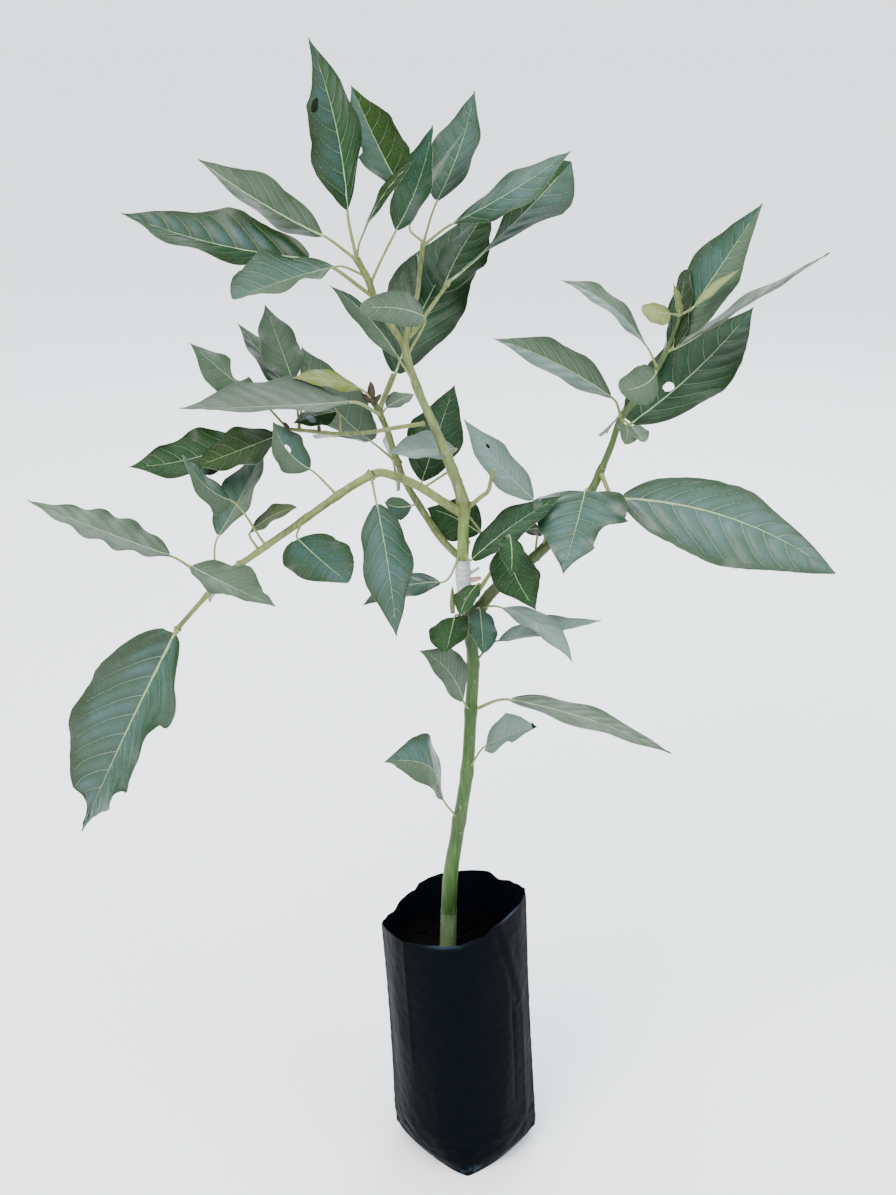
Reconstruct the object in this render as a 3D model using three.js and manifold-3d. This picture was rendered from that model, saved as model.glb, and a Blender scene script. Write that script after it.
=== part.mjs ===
// A young grafted avocado tree in a black polythene nursery bag.
// Millimetres, +Z up. The origin is the middle of the bag's flat underside.
// The stock stands in the soil; above the taped graft the scion forks into a leader
// and drooping and rising boughs. Leaves stand on petioles, alone or in sprays.

import * as THREE from 'three';
import { mergeVertices } from 'three/addons/utils/BufferGeometryUtils.js';
import Module from 'manifold-3d';

const wasm = await Module();
wasm.setup();

// ---------- driving sizes ----------

const GAP = 0.3;                 // clearance between touching pieces
const SOIL_TOP = 178;            // height of the soil in the bag
const FILM = 1.0;                // thickness of the bag's wall
const RIM_HEIGHT = 216;          // mean height of the bag's open rim
const RIM_LEAN = 12;             // the rim rises this much on one side, and falls on the other
const RIM_HIGH_TURN = -25;       // degrees round from +X to the rim's highest place
const BAG_AROUND = 28;           // facets round the bag
const BAG_SHIFT = -11;           // the bag's axis has moved this far along X at the rim
const RIM_RIPPLE = 2;            // the rim's three low waves
const RIM_RIPPLE_TURN = 0.7;     // radians
const OVER_RIM = 4;              // how far the cutter that hollows the bag stands over the rim
const SOIL_CLEARANCE = 0.42;     // between the soil's facets and the bag's film

// The bag's section at a few heights: half sizes along X and Y, and how square it is.
// An exponent of 2 is an ellipse; a lower one is the folded bottom's rounded diamond.
const BAG_SECTIONS = [
  { height: 0, halfX: 52, halfY: 56.5, power: 1.25 },
  { height: 14, halfX: 57.5, halfY: 55.5, power: 1.6 },
  { height: 32, halfX: 57, halfY: 55.5, power: 1.9 },
  { height: 110, halfX: 56.5, halfY: 56, power: 2 },
  { height: 190, halfX: 56.3, halfY: 55.5, power: 2 },
];

const TAPE_FOOT = 484;           // the graft tape's lower and upper edges
const TAPE_TOP = 505;
const GRAFT = 497;               // where the stock ends and the scion begins
const TAPE_RADIUS = 5.6;         // outside the tape
const TAPE_AROUND = 12;

const CUTTER = 60;               // side of the block that cuts the stock's foot flat
const LEAF_THICKNESS = 0.013;    // of the blade's length, at the midrib
const THINNEST_LEAF = 0.9;
const LEAF_ARCH = 0.02;          // bow of the midrib, of the blade's length
const LEAF_FOLD = 7;             // degrees that each half rises from flat
const LONG_BLADE = 90;           // blades over this get more stations
const REAR_LENGTH = 108;         // blades on the far side of the crown, before their seeded change
const REAR_PETIOLE = 22;
const REAR_DROOP = 20;           // degrees under the level
const REAR_SPREAD = 24;          // degrees over which their bearings differ
const REAR_SWAY = 8;             // degrees over which their droops differ
const REAR_WIDTH = 0.4;          // of the blade's length
const PETIOLE_THICK = 0.021;     // of the blade's length, but never under the next value
const THINNEST_PETIOLE = 1.7;

// Limbs, each a row of [x, y, z, diameter] from its foot to its tip.
const LIMBS = {
  stock: [
    [-17.5, 0, 168, 15.5], [-16, 0, 184, 13], [-14.4, 0, 240, 12], [-9.4, 0, 280, 10.6],
    [-1.5, 0, 336, 9.6], [1.3, 0, 390, 9.4], [2.6, 0, 429, 9.2], [-1.3, 0, 468, 8.8],
    [-5, 0, 497, 8.2],
  ],
  leader: [
    [-5, 0, 497, 8.2], [-5.2, 0, 523, 8], [-5.3, 0, 550, 9.6], [-13, 2, 575, 8.2],
    [-24.5, 6, 603, 6.9], [-35.5, 10, 627, 6.3], [-44, 14, 651, 5.8], [-46, 16, 661, 5.6],
  ],
  topLeft: [
    [-46, 16, 661, 5.6], [-54, 12, 674, 5.2], [-64, 6, 691, 4.8], [-70, 0, 709, 4.8],
    [-77, -8, 724, 5],
  ],
  topRight: [
    [-46, 16, 661, 5], [-42.5, 22, 678, 4.4], [-37.5, 30, 694, 4], [-35.5, 36, 710, 3.8],
    [-33.5, 42, 728, 3.8],
  ],
  sideTop: [[-44, 18, 666, 3.6], [-37.5, 24, 672, 3.4], [-28.5, 32, 684, 3], [-17, 38, 699, 2.6]],
  backBough: [
    [-5.2, 2, 508, 6.8], [-12, 7, 512.5, 6.6], [-22, 12, 522, 6.4], [-33, 16, 538, 6.1],
    [-47, 20, 561, 5.7], [-52, 21.5, 574, 5.5],
  ],
  backStem: [[-52, 21.5, 574, 5.5], [-57, 21.5, 590, 5.3], [-60, 20, 601, 5.1],
    [-65.5, 16, 615, 4.8], [-69.5, 14, 624, 5.6]],
  backBranch: [[-65, 17, 613, 3.6], [-62, 30, 622, 3.2], [-56, 48, 634, 2.8]],
  leftRise: [
    [-5.3, 0, 543, 6.6], [-18, -10, 554.5, 6.3], [-39, -24, 572.5, 6], [-59, -38, 584.5, 5.9],
    [-67.5, -44, 585.5, 5.9],
  ],
  leftFall: [
    [-67.5, -44, 585.5, 5.9], [-85.5, -50, 576, 5.5], [-109, -56, 560.5, 5],
    [-136, -62, 542.5, 4.5], [-159.5, -66, 526.5, 4.1],
  ],
  leftStem: [
    [-159.5, -66, 526.5, 4.1], [-174, -69, 514, 3.8], [-186.5, -73, 501, 3.3],
    [-200, -76, 486, 3],
  ],
  twigStem: [
    [-33, 7, 607.5, 4], [-49.5, -2, 607.5, 3.8], [-70, -12, 606.5, 3.5], [-90, -20, 607.5, 3.4],
    [-103.5, -25, 610, 3.2], [-116.5, -30, 612.5, 3], [-124.5, -32, 614, 2.8],
  ],
  rightBough: [
    [1, 0, 457, 10], [6, 3, 467, 9.6], [16.5, 6, 481.5, 9], [33, 10, 495.5, 8.2],
    [55, 14, 513.5, 7.4], [86, 24, 550, 6.4], [96, 29, 569, 6],
  ],
  rightStem: [
    [96, 29, 569, 6], [102.5, 33, 584.5, 5.6], [109.5, 36, 604.5, 5.2], [125.5, 38, 626, 4.5],
    [138.5, 38, 650, 4], [146, 36, 671.5, 3.4], [147, 34, 681.5, 3],
  ],
  graftTwig: [[-3, 0, 472, 4.2], [6.5, -7, 488, 3.8], [12.5, -12, 499.5, 3.2], [18, -20, 511.5, 3]],
  forkStub: [[-5, 0, 545, 3.6], [7, 0, 555.5, 3.2], [12.5, -2, 561, 3], [14.5, -3, 570, 2.8],
    [16.5, -4, 577.5, 2.6]],
};

// Leaves, each written [place on its stem from 0 to 1, run of the petiole, run of the blade,
// width of the blade, roll in degrees, shape]. A run is how far the piece goes along X, Y and Z.
// With no roll the blade's face looks as far up as it can. The shape may give an arch, a fold,
// a bow, a twist and a skew, which is how much wider the right half is, of its own.
const CROWN_LEFT = [
  [1.0, [-5, -6, 31], [-22, -26, 106], 44, -89, { arch: 0.00, fold: -8, bow: 0.05 }],
  [0.58, [-43, -4, 26], [-131, 20, 27], 48, -29, { arch: 0.01, fold: 24, bow: -0.07 }],
  [0.79, [-20, -17, 9], [-61, -52, -12], 46, -15, { fold: 24 }],
  [0.98, [-22, -5, 17], [-85, 37, 46], 40, 57, { arch: 0.00, fold: 15, bow: 0.03 }],
  [1.0, [5, -14, 16], [37, -33, 51], 22, 54, { arch: 0.00, fold: -6, bow: -0.04, twist: 70 }],
  [0.69, [20, 12, 63], [-32, 16, 64], 44, -14, { arch: 0.00, bow: -0.02 }],
  [0.7, [18, -3, 35], [24, -6, 67], 40, 48, { arch: -0.02, bow: 0.07 }],
];
const CROWN_RIGHT = [
  [1.0, [-7, -6, 16], [37, 16, 59], 26, 3, { arch: 0.00, fold: -8, bow: -0.03 }],
  [0.98, [10, 4, 27], [25, 20, 70], 38, 2, { arch: -0.01, fold: 3, bow: 0.07 }],
  [0.97, [21, -3, 15], [78, -16, 51], 38, 31, { arch: 0.00, fold: -3, bow: 0.02 }],
];
const CROWN_SIDE = [
  [1.0, [2, 0, 3], [84, 37, 78], 42, -2, { arch: 0.00, fold: -6, bow: 0.05 }],
  [0.79, [3, 10, 4], [35, 41, 55], 40, -3, { arch: 0.00, fold: -12, bow: -0.06 }],
];
const BACK_CROWN = [
  [0.69, [-19, -30, 16], [-105, -64, 11], 44, -13, { fold: 19, bow: -0.06 }],
  [0.93, [-9, -7, 11], [-43, -30, 14], 20, -31, { fold: 2, bow: 0.06 }],
  [0.01, [-18, -8, 19], [-52, 34, 60], 44, -6, { arch: -0.03, fold: 19, bow: -0.07 }],
  [0.67, [4, 7, 5], [20, 16, 6], 14, 20],
];
const BACK_BRANCH = [[0.11, [10, 30, 18], [66, 70, 110], 64, 17, { arch: 0.00, bow: -0.03 }]];
const RIGHT_CROWN = [
  [0.33, [-8, -8, 17], [-84, -28, 48], 36, -39, { arch: 0.00, bow: 0.04 }],
  [0.6, [-11, -8, 18], [-61, -22, 49], 30, -28, { arch: 0.05, fold: 3, bow: 0.07 }],
  [0.31, [9, 12, -5], [95, 57, 76], 60, 26, { arch: 0.00, fold: 11, bow: 0.04 }],
  [0.69, [4, -10, 8], [50, -34, 98], 42, 59, { arch: 0.00 }],
  [0.69, [10, 6, 2], [110, 28, 62], 42, -14, { arch: 0.04 }],
  [0.69, [4, 6, 1], [9, 16, 52], 28, -26, { arch: 0.00, fold: -1 }],
  [0.95, [-6, -5, 2], [-19, -12, 5], 14, -55],
  [0.95, [-1, 1, 2], [-4, 2, 19], 12, -9],
  [0.95, [7, -3, 9], [27, -10, 26], 14, 24],
  [0.59, [-1, -12, 0], [-30, -40, -1], 30, -4, { fold: 2, bow: -0.07 }],
  [0.33, [1, -10, -2], [-1, -28, -6], 18, -39, { arch: 0.12 }],
  [0.33, [7, -10, -4], [7, -22, -3], 16, -4],
];
const TWIG_CROWN = [
  [1.0, [-17, 4, 18], [-42, -16, 42], 32, -37, { arch: 0.00, fold: -4, bow: 0.01 }],
  [0.84, [-3, 22, 14], [-42, 22, 48], 30, 1, { arch: 0.00, fold: 11, bow: -0.01 }],
  [0.84, [-6, 24, 29], [-19, 18, 48], 40, 10, { arch: 0.00, fold: -1, bow: 0.01 }],
  [0.5, [-2, 6, 14], [-25, -16, 0], 20, -22, { fold: -6, bow: 0.04 }],
  [1.0, [-30, 10, -10], [-77, -16, -15], 40, -20, { arch: 0.00, fold: 14, bow: -0.07 }],
  [1.0, [-9, -8, -3], [-55, -14, -18], 42, -16, { fold: 13, bow: -0.02 }],
];
const LEFT_CROWN = [
  [0.32, [2, 9, 31], [29, 32, 56], 44, -11, { arch: 0.00, fold: 10, bow: 0.03 }],
  [0.36, [-26, -7, 25], [-86, -16, 45], 38, -9, { arch: 0.00, fold: 13, bow: -0.02 }],
  [0.36, [-12, -15, 21], [59, -28, -17], 34, 4, { fold: 12, bow: 0.03 }],
  [1.0, [-1, 0, -3], [-84, 14, -165], 66, -76, { fold: 33 }],
];
const GRAFT_SPRAY = [
  [1.0, [7, -6, 17], [20, -30, -37], 40, -2, { arch: 0.01, fold: 1, bow: 0.07 }],
  [1.0, [8, -14, 25], [0, -26, -20], 26, -55, { arch: 0.09, fold: 14, bow: -0.07 }],
];

// Leaves on the far side of a stem leave it backwards and droop, by a seeded rule.
function seededRandom(seed) {
  let state = seed;
  return () => {
    state = (state * 16807) % 2147483647;
    return state / 2147483647;
  };
}

function rearLeaves(places, bearing, seed) {
  const random = seededRandom(seed);
  return places.map((place) => {
    const turn = THREE.MathUtils.degToRad(bearing + REAR_SPREAD * (random() - 0.5));
    const droop = THREE.MathUtils.degToRad(REAR_DROOP + REAR_SWAY * (random() - 0.5));
    const length = REAR_LENGTH * (0.85 + 0.3 * random());
    const away = [Math.cos(turn), Math.sin(turn)];
    const petiole = [REAR_PETIOLE * away[0], REAR_PETIOLE * away[1], 0];
    const level = length * Math.cos(droop);
    const blade = [level * away[0], level * away[1], -length * Math.sin(droop)];
    return [place, petiole, blade, REAR_WIDTH * length, 0, {}];
  });
}

CROWN_RIGHT.push(...rearLeaves([0.9], 150, 11));
BACK_CROWN.push(...rearLeaves([0.35], 120, 21));
RIGHT_CROWN.push(...rearLeaves([0.42, 0.66], 66, 31));
TWIG_CROWN.push(...rearLeaves([0.68, 0.95], 105, 41));
LEFT_CROWN.push(...rearLeaves([0.5], 95, 51));

// Leaves that stand alone on the stock, the leader or a bough: name, limb and leaf.
const LONE_LEAVES = [
  ['leaf_stock_low_left', 'stock',
    [0.41, [-14, -14, 31], [-38, -38, 45], 44, -47, { arch: 0.18, fold: 3, bow: 0.07 }]],
  ['leaf_stock_low_right', 'stock',
    [0.5, [15, -14, 30], [35, -46, 40], 30, 44, { arch: 0.00, fold: 19, bow: -0.01 }]],
  ['leaf_stock_long_right', 'stock',
    [0.62, [29, -8, 12], [119, -36, -26], 32, 3, { fold: 2, bow: -0.04 }]],
  ['leaf_stock_mid_left', 'stock',
    [0.62, [-5, -14, 14], [-31, -16, 46], 30, -56, { arch: 0.05, fold: 10, bow: 0.07 }]],
  ['leaf_stock_upper_right', 'stock',
    [0.74, [19, -9, 23], [73, -10, 21], 30, 8, { fold: 23, bow: 0.07 }]],
  ['leaf_graft_left', 'stock', [0.84, [-11, -14, 10], [-6, -26, -15], 30, 29, { bow: 0.04 }]],
  ['leaf_graft_right', 'stock', [0.87, [8, -12, 7], [5, -30, -21], 28, -34, { fold: 4 }]],
  ['leaf_graft_front', 'stock', [0.89, [7, -12, 19], [-12, -22, -16], 26, 18, { fold: 1, bow: 0.03 }]],
  ['leaf_graft_back', 'leader',
    [0.12, [-17, -10, -24], [-54, -16, -11], 28, -16, { fold: -4, bow: 0.07 }]],
  ['leaf_scion_right', 'leader', [0.1, [5, -8, -4], [63, 8, 45], 36, 18, { arch: 0.00, bow: -0.06 }]],
  ['leaf_fork_round', 'leader', [0.27, [12, 14, -23], [-39, 30, 10], 40, -18, { fold: 15, bow: 0.05 }]],
  ['leaf_leader_dark', 'leader',
    [0.43, [-22, 24, -17], [24, 26, 64], 46, 10, { arch: 0.00, bow: -0.01 }]],
  ['leaf_leader_pale', 'leader', [0.48, [6, 13, 3], [-49, -16, 4], 32, -22, { fold: 20, bow: -0.02 }]],
  ['leaf_leader_folded', 'leader',
    [0.75, [-12, -11, 21], [-41, -26, 54], 34, -45, { arch: 0.00, fold: -10, bow: 0.07 }]],
  ['leaf_leader_curled', 'leader',
    [0.88, [11, -20, 20], [-38, -50, 26], 36, -42, { arch: 0.06, bow: 0.07 }]],
  ['leaf_right_foot', 'rightBough',
    [0.21, [15, -25, 9], [47, -38, -26], 28, 2, { arch: 0.05, bow: -0.07 }]],
  ['leaf_right_small', 'rightBough', [0.66, [-2, -6, 17], [-17, -12, 3], 16, -24]],
  ['leaf_right_pale', 'rightBough',
    [0.62, [-2, 6, 41], [-51, 10, 58], 34, -25, { arch: 0.00, fold: 2, bow: -0.02 }]],
  ['leaf_right_broad', 'rightBough',
    [0.84, [-4, -12, 4], [-19, -56, -46], 60, 30, { fold: -2, bow: -0.06 }]],
  ['leaf_right_long', 'rightBough',
    [0.97, [11, -22, -13], [149, -40, -42], 65, 42, { fold: -8, bow: -0.07, skew: 0.13 }]],
  ['leaf_left_hanging', 'leftFall', [0.01, [4, -12, -16], [13, -18, -88], 46, -13, { fold: -6 }]],
  ['leaf_left_upper', 'leftFall',
    [0.31, [-17, 1, 16], [-17, -14, 33], 34, -56, { arch: -0.04, fold: -3, bow: -0.07 }]],
  ['leaf_left_round', 'leftFall', [0.55, [-3, -9, -10], [36, -34, -19], 48, 1, { fold: 2 }]],
  ['leaf_left_curled', 'leftFall',
    [0.78, [-20, -18, 38], [-22, -34, 39], 34, -45, { arch: -0.03, fold: -6, bow: -0.07 }]],
  ['leaf_left_small', 'leftFall',
    [0.83, [-4, 5, 12], [32, -8, 21], 18, 17, { arch: 0.05, bow: -0.07 }]],
  ['leaf_back_grey', 'backBough',
    [0.67, [-4, -9, 1], [-16, -18, 10], 20, -44, { arch: -0.07, fold: -6, bow: -0.07 }]],
  ['leaf_rear_stock', 'stock', rearLeaves([0.8], 90, 61)[0]],
  ['leaf_rear_leader', 'leader', rearLeaves([0.3], 60, 71)[0]],
  ['leaf_rear_right', 'rightBough', rearLeaves([0.72], 80, 81)[0]],
];

// The limbs that a petiole's root may meet beside its own.
const NEAR_LEAF_ROOTS = {
  stock: ['rightBough', 'graftTwig'],
  leader: ['topLeft'],
  rightBough: ['stock'],
  leftFall: [],
  backBough: ['leader'],
};

// ---------- materials ----------

const finish = (color, roughness) =>
  new THREE.MeshStandardMaterial({ color, roughness, metalness: 0 });
const POLYTHENE = finish(0x15171b, 0.35);
const SOIL = finish(0x3a2c22, 0.95);
const GREEN_BARK = finish(0x5f7d3c, 0.6);
const YOUNG_BARK = finish(0xa9b27a, 0.55);
const GRAFT_TAPE = finish(0xd5d8df, 0.4);
const FOLIAGE = finish(0x4a6b50, 0.5);

// ---------- solids and their joins ----------

function solidOf(geometry) {
  const bare = new THREE.BufferGeometry();
  bare.setAttribute('position', geometry.getAttribute('position'));
  bare.setIndex(geometry.getIndex());
  const merged = mergeVertices(bare, 1e-4);
  return new wasm.Manifold(new wasm.Mesh({
    numProp: 3,
    vertProperties: new Float32Array(merged.getAttribute('position').array),
    triVerts: new Uint32Array(merged.getIndex().array),
  }));
}

function geometryOf(solid) {
  const mesh = solid.getMesh();
  const geometry = new THREE.BufferGeometry();
  geometry.setAttribute('position', new THREE.BufferAttribute(mesh.vertProperties.slice(), 3));
  geometry.setIndex(new THREE.BufferAttribute(mesh.triVerts.slice(), 1));
  return geometry;
}

const fuse = (solids) => solids.reduce((whole, next) => whole.add(next));

// A closed body through rings of points, one ring to a row, with a fan over each end.
function loft(rings, foot, tip) {
  const around = rings[0].length;
  const corners = [...rings.flat(), foot, tip];
  const footIndex = rings.length * around;
  const faces = [];
  for (let row = 0; row + 1 < rings.length; row++) {
    for (let i = 0; i < around; i++) {
      const a = row * around + i;
      const b = row * around + (i + 1) % around;
      faces.push(a, b, b + around, a, b + around, a + around);
    }
  }
  const last = (rings.length - 1) * around;
  for (let i = 0; i < around; i++) {
    const next = (i + 1) % around;
    faces.push(footIndex, next, i);
    faces.push(footIndex + 1, last + i, last + next);
  }
  const geometry = new THREE.BufferGeometry().setFromPoints(corners);
  geometry.setIndex(faces);
  return geometry;
}

// ---------- limbs ----------

const curveOf = (rows) => new THREE.CatmullRomCurve3(
  rows.map(([x, y, z]) => new THREE.Vector3(x, y, z)), false, 'catmullrom', 0.5);

function diameterAt(rows, place) {
  const step = Math.min(Math.floor(place * (rows.length - 1)), rows.length - 2);
  return THREE.MathUtils.lerp(rows[step][3], rows[step + 1][3], place * (rows.length - 1) - step);
}

const FIRST_SIDE = new THREE.Vector3(0.31, 0.95, 0.05);

// A round tapering body along a curve. Each ring's axes are carried on from the last ring's.
function taperedTube(pointAt, radiusAt, steps, around) {
  const points = Array.from({ length: steps + 1 }, (_, i) => pointAt(i / steps));
  const rings = [];
  let side = null;
  points.forEach((point, i) => {
    const ahead = points[Math.min(i + 1, steps)].clone().sub(points[Math.max(i - 1, 0)]).normalize();
    side ??= FIRST_SIDE.clone();
    side.addScaledVector(ahead, -side.dot(ahead)).normalize();
    const across = ahead.clone().cross(side);
    const radius = radiusAt(i / steps);
    rings.push(Array.from({ length: around }, (_, k) => {
      const turn = 2 * Math.PI * k / around;
      return point.clone()
        .addScaledVector(side, radius * Math.cos(turn))
        .addScaledVector(across, radius * Math.sin(turn));
    }));
  });
  return loft(rings, points[0], points[steps]);
}

const LIMB_AROUND = 8;
const STEPS_A_SPAN = 2;

// The limb's own body, or with a margin the space that its neighbours keep clear of.
function limbSolid(name, margin = 0) {
  const rows = LIMBS[name];
  const curve = curveOf(rows);
  const start = curve.getPoint(0);
  const end = curve.getPoint(1);
  start.addScaledVector(curve.getTangent(0), -margin);
  end.addScaledVector(curve.getTangent(1), margin);
  const pointAt = (place) => (place <= 0 ? start : place >= 1 ? end : curve.getPoint(place));
  const radiusAt = (place) => diameterAt(rows, place) / 2 + margin;
  const steps = STEPS_A_SPAN * (rows.length - 1);
  return solidOf(taperedTube(pointAt, radiusAt, steps, LIMB_AROUND));
}

const sleeve = (name) => limbSolid(name, GAP);

// ---------- leaves ----------

const UP = new THREE.Vector3(0, 0, 1);
const SHORT_STATIONS = [0.1, 0.28, 0.48, 0.7, 0.9];
const LONG_STATIONS = [0.06, 0.16, 0.3, 0.46, 0.64, 0.8, 0.93];

// Half width of an avocado leaf along its midrib, from 0 to 1: widest before the middle,
// and drawn out to a point.
const leafOutline = (place) => Math.sin(Math.PI * place ** 0.8) ** 0.85;

function leafAxes(run, roll) {
  const along = run.clone().normalize();
  const face = UP.clone().addScaledVector(along, -UP.dot(along)).normalize();
  face.applyAxisAngle(along, THREE.MathUtils.degToRad(roll));
  return { along, face, side: along.clone().cross(face) };
}

// The midrib leaves its chord by the arch, towards the face, and by the bow, towards the side.
function midribPoint(foot, run, roll, { arch = LEAF_ARCH, bow = 0 }, place) {
  const { face, side } = leafAxes(run, roll);
  const rise = 4 * run.length() * place * (1 - place);
  return foot.clone().addScaledVector(run, place)
    .addScaledVector(face, arch * rise).addScaledVector(side, bow * rise);
}

// The blade is a thin body with sharp edges: at each station a left edge, an upper face,
// a right edge and an under face.
function bladeSolid(foot, run, width, roll, shape) {
  const { fold = LEAF_FOLD, twist = 0, skew = 0 } = shape;
  const length = run.length();
  const thick = Math.max(LEAF_THICKNESS * length, THINNEST_LEAF);
  const stations = length > LONG_BLADE ? LONG_STATIONS : SHORT_STATIONS;
  const rings = stations.map((place) => {
    const { face, side } = leafAxes(run, roll + twist * (place - 0.5));
    const middle = midribPoint(foot, run, roll, shape, place);
    const half = width / 2 * leafOutline(place);
    const rise = Math.tan(THREE.MathUtils.degToRad(fold));
    const edge = (reach) => middle.clone()
      .addScaledVector(side, reach).addScaledVector(face, Math.abs(reach) * rise);
    const left = edge(-half * (1 - skew));
    const right = edge(half * (1 + skew));
    const upper = middle.clone().addScaledVector(face, thick / 2);
    const under = middle.clone().addScaledVector(face, -thick / 2);
    return [left, upper, right, under];
  });
  return solidOf(loft(rings, foot, foot.clone().add(run)));
}

const PETIOLE_LEAVE = 0.35;      // how far the petiole runs straight out, of its reach
const PETIOLE_ARRIVE = 0.3;      // and how far it comes in along the blade's own line
const PETIOLE_HEAD = 0.08;       // where on the blade its head is sunk
const PETIOLE_TAPER = 0.3;       // how much thinner its head is than its root

// A leaf with its petiole, whose root is on the stem's axis and whose head is sunk in the blade.
function leafSolid(stem, [place, petioleRun, bladeRun, width, roll, shape = {}]) {
  const root = curveOf(LIMBS[stem]).getPoint(place);
  const foot = root.clone().add(new THREE.Vector3(...petioleRun));
  const run = new THREE.Vector3(...bladeRun);
  const reach = foot.distanceTo(root);
  const onward = midribPoint(foot, run, roll, shape, 1.5 * PETIOLE_HEAD).sub(foot).normalize();
  const leave = foot.clone().sub(root).multiplyScalar(PETIOLE_LEAVE).add(root);
  const arrive = foot.clone().addScaledVector(onward, -PETIOLE_ARRIVE * reach);
  const head = midribPoint(foot, run, roll, shape, PETIOLE_HEAD);
  const path = new THREE.CubicBezierCurve3(root, leave, arrive, head);
  const thick = Math.max(PETIOLE_THICK * run.length(), THINNEST_PETIOLE);
  const petiole = taperedTube(
    (along) => path.getPoint(along),
    (along) => thick / 2 * (1 + PETIOLE_TAPER * (0.5 - along)), 3, 4);
  return solidOf(petiole).add(bladeSolid(foot, run, width, roll, shape));
}

// A mass of leaves: its stem, the leaves on it and any side stem, cut clear of what carries it.
function spraySolid(stems, carriers) {
  const parts = stems.flatMap(([stem, leaves]) => [
    limbSolid(stem), ...leaves.map((leaf) => leafSolid(stem, leaf)),
  ]);
  return carriers.reduce((whole, carrier) => whole.subtract(sleeve(carrier)), fuse(parts));
}

// ---------- the bag and its soil ----------

function bagSection(height) {
  const upper = Math.max(BAG_SECTIONS.findIndex((row) => row.height >= height), 1);
  const last = BAG_SECTIONS.length - 1;
  const above = height > BAG_SECTIONS[last].height ? last : upper;
  const low = BAG_SECTIONS[above - 1];
  const high = BAG_SECTIONS[above];
  const share = Math.min((height - low.height) / (high.height - low.height), 1);
  const mix = (key) => THREE.MathUtils.lerp(low[key], high[key], share);
  return { halfX: mix('halfX'), halfY: mix('halfY'), power: mix('power') };
}

function bagRing(heightAt, inset) {
  return Array.from({ length: BAG_AROUND }, (_, i) => {
    const turn = 2 * Math.PI * i / BAG_AROUND;
    const height = heightAt(turn);
    const { halfX, halfY, power } = bagSection(height);
    const across = Math.abs(Math.cos(turn) / halfX) ** power;
    const deep = Math.abs(Math.sin(turn) / halfY) ** power;
    const radius = (across + deep) ** (-1 / power) - inset;
    const shift = BAG_SHIFT * height / RIM_HEIGHT;
    return new THREE.Vector3(
      shift + radius * Math.cos(turn), radius * Math.sin(turn), height);
  });
}

function rimHeight(turn) {
  const high = THREE.MathUtils.degToRad(RIM_HIGH_TURN);
  return RIM_HEIGHT + RIM_LEAN * Math.cos(turn - high)
    + RIM_RIPPLE * Math.cos(3 * turn + RIM_RIPPLE_TURN);
}

const level = (height) => () => height;

function bagSolid() {
  const levels = BAG_SECTIONS.slice(1).map((row) => row.height);
  const outer = [bagRing(level(0), 0), ...levels.map((z) => bagRing(level(z), 0)),
    bagRing(rimHeight, 0)];
  const overRim = (turn) => rimHeight(turn) + OVER_RIM;
  const inner = [bagRing(level(FILM), FILM), ...levels.map((z) => bagRing(level(z), FILM)),
    bagRing(rimHeight, FILM), bagRing(overRim, FILM)];
  const centre = (z) => new THREE.Vector3(BAG_SHIFT * z / RIM_HEIGHT, 0, z);
  const body = solidOf(loft(outer, centre(0), centre(RIM_HEIGHT)));
  const hollow = solidOf(loft(inner, centre(FILM), centre(RIM_HEIGHT + OVER_RIM)));
  return body.subtract(hollow);
}

function soilSolid() {
  const inset = FILM + SOIL_CLEARANCE;
  const levels = BAG_SECTIONS.slice(1, -1).map((row) => row.height);
  const heights = [inset, ...levels, SOIL_TOP];
  const centre = (z) => new THREE.Vector3(BAG_SHIFT * z / RIM_HEIGHT, 0, z);
  const rings = heights.map((z) => bagRing(level(z), inset));
  return solidOf(loft(rings, centre(inset), centre(SOIL_TOP)));
}

// ---------- stock, graft and tape ----------

// The stock ends in a flat cut just over the soil.
function stockSolid() {
  const [footX, footY] = LIMBS.stock[0];
  const ground = new THREE.BoxGeometry(CUTTER, CUTTER, CUTTER);
  ground.translate(footX, footY, SOIL_TOP + GAP - CUTTER / 2);
  return limbSolid('stock').subtract(solidOf(ground));
}

function tapeSolid() {
  const curve = curveOf([[-4, 0, TAPE_FOOT], [-5.1, 0, GRAFT], [-5.2, 0, TAPE_TOP]]);
  const wrap = solidOf(
    taperedTube((place) => curve.getPoint(place), () => TAPE_RADIUS, 3, TAPE_AROUND));
  const parts = ['stock', 'leader', 'backBough'].map(sleeve);
  return parts.reduce((whole, part) => whole.subtract(part), wrap);
}

// ---------- the tree ----------

const tree = new THREE.Group();

function place(name, solid, material) {
  const mesh = new THREE.Mesh(geometryOf(solid), material);
  mesh.name = name;
  tree.add(mesh);
}

const bough = (name, carriers) =>
  carriers.reduce((whole, carrier) => whole.subtract(sleeve(carrier)), limbSolid(name));

place('planter_bag', bagSolid(), POLYTHENE);
place('soil', soilSolid(), SOIL);
place('trunk_stock', stockSolid(), GREEN_BARK);
place('graft_tape', tapeSolid(), GRAFT_TAPE);
place('leader', bough('leader', ['stock']), YOUNG_BARK);
place('bough_back', bough('backBough', ['leader', 'stock']), GREEN_BARK);
place('bough_left_rise', bough('leftRise', ['leader']), YOUNG_BARK);
place('bough_left_fall', bough('leftFall', ['leftRise']), YOUNG_BARK);
place('bough_right', bough('rightBough', ['stock']), GREEN_BARK);
place('fork_stub', bough('forkStub', ['leader']), YOUNG_BARK);

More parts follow.
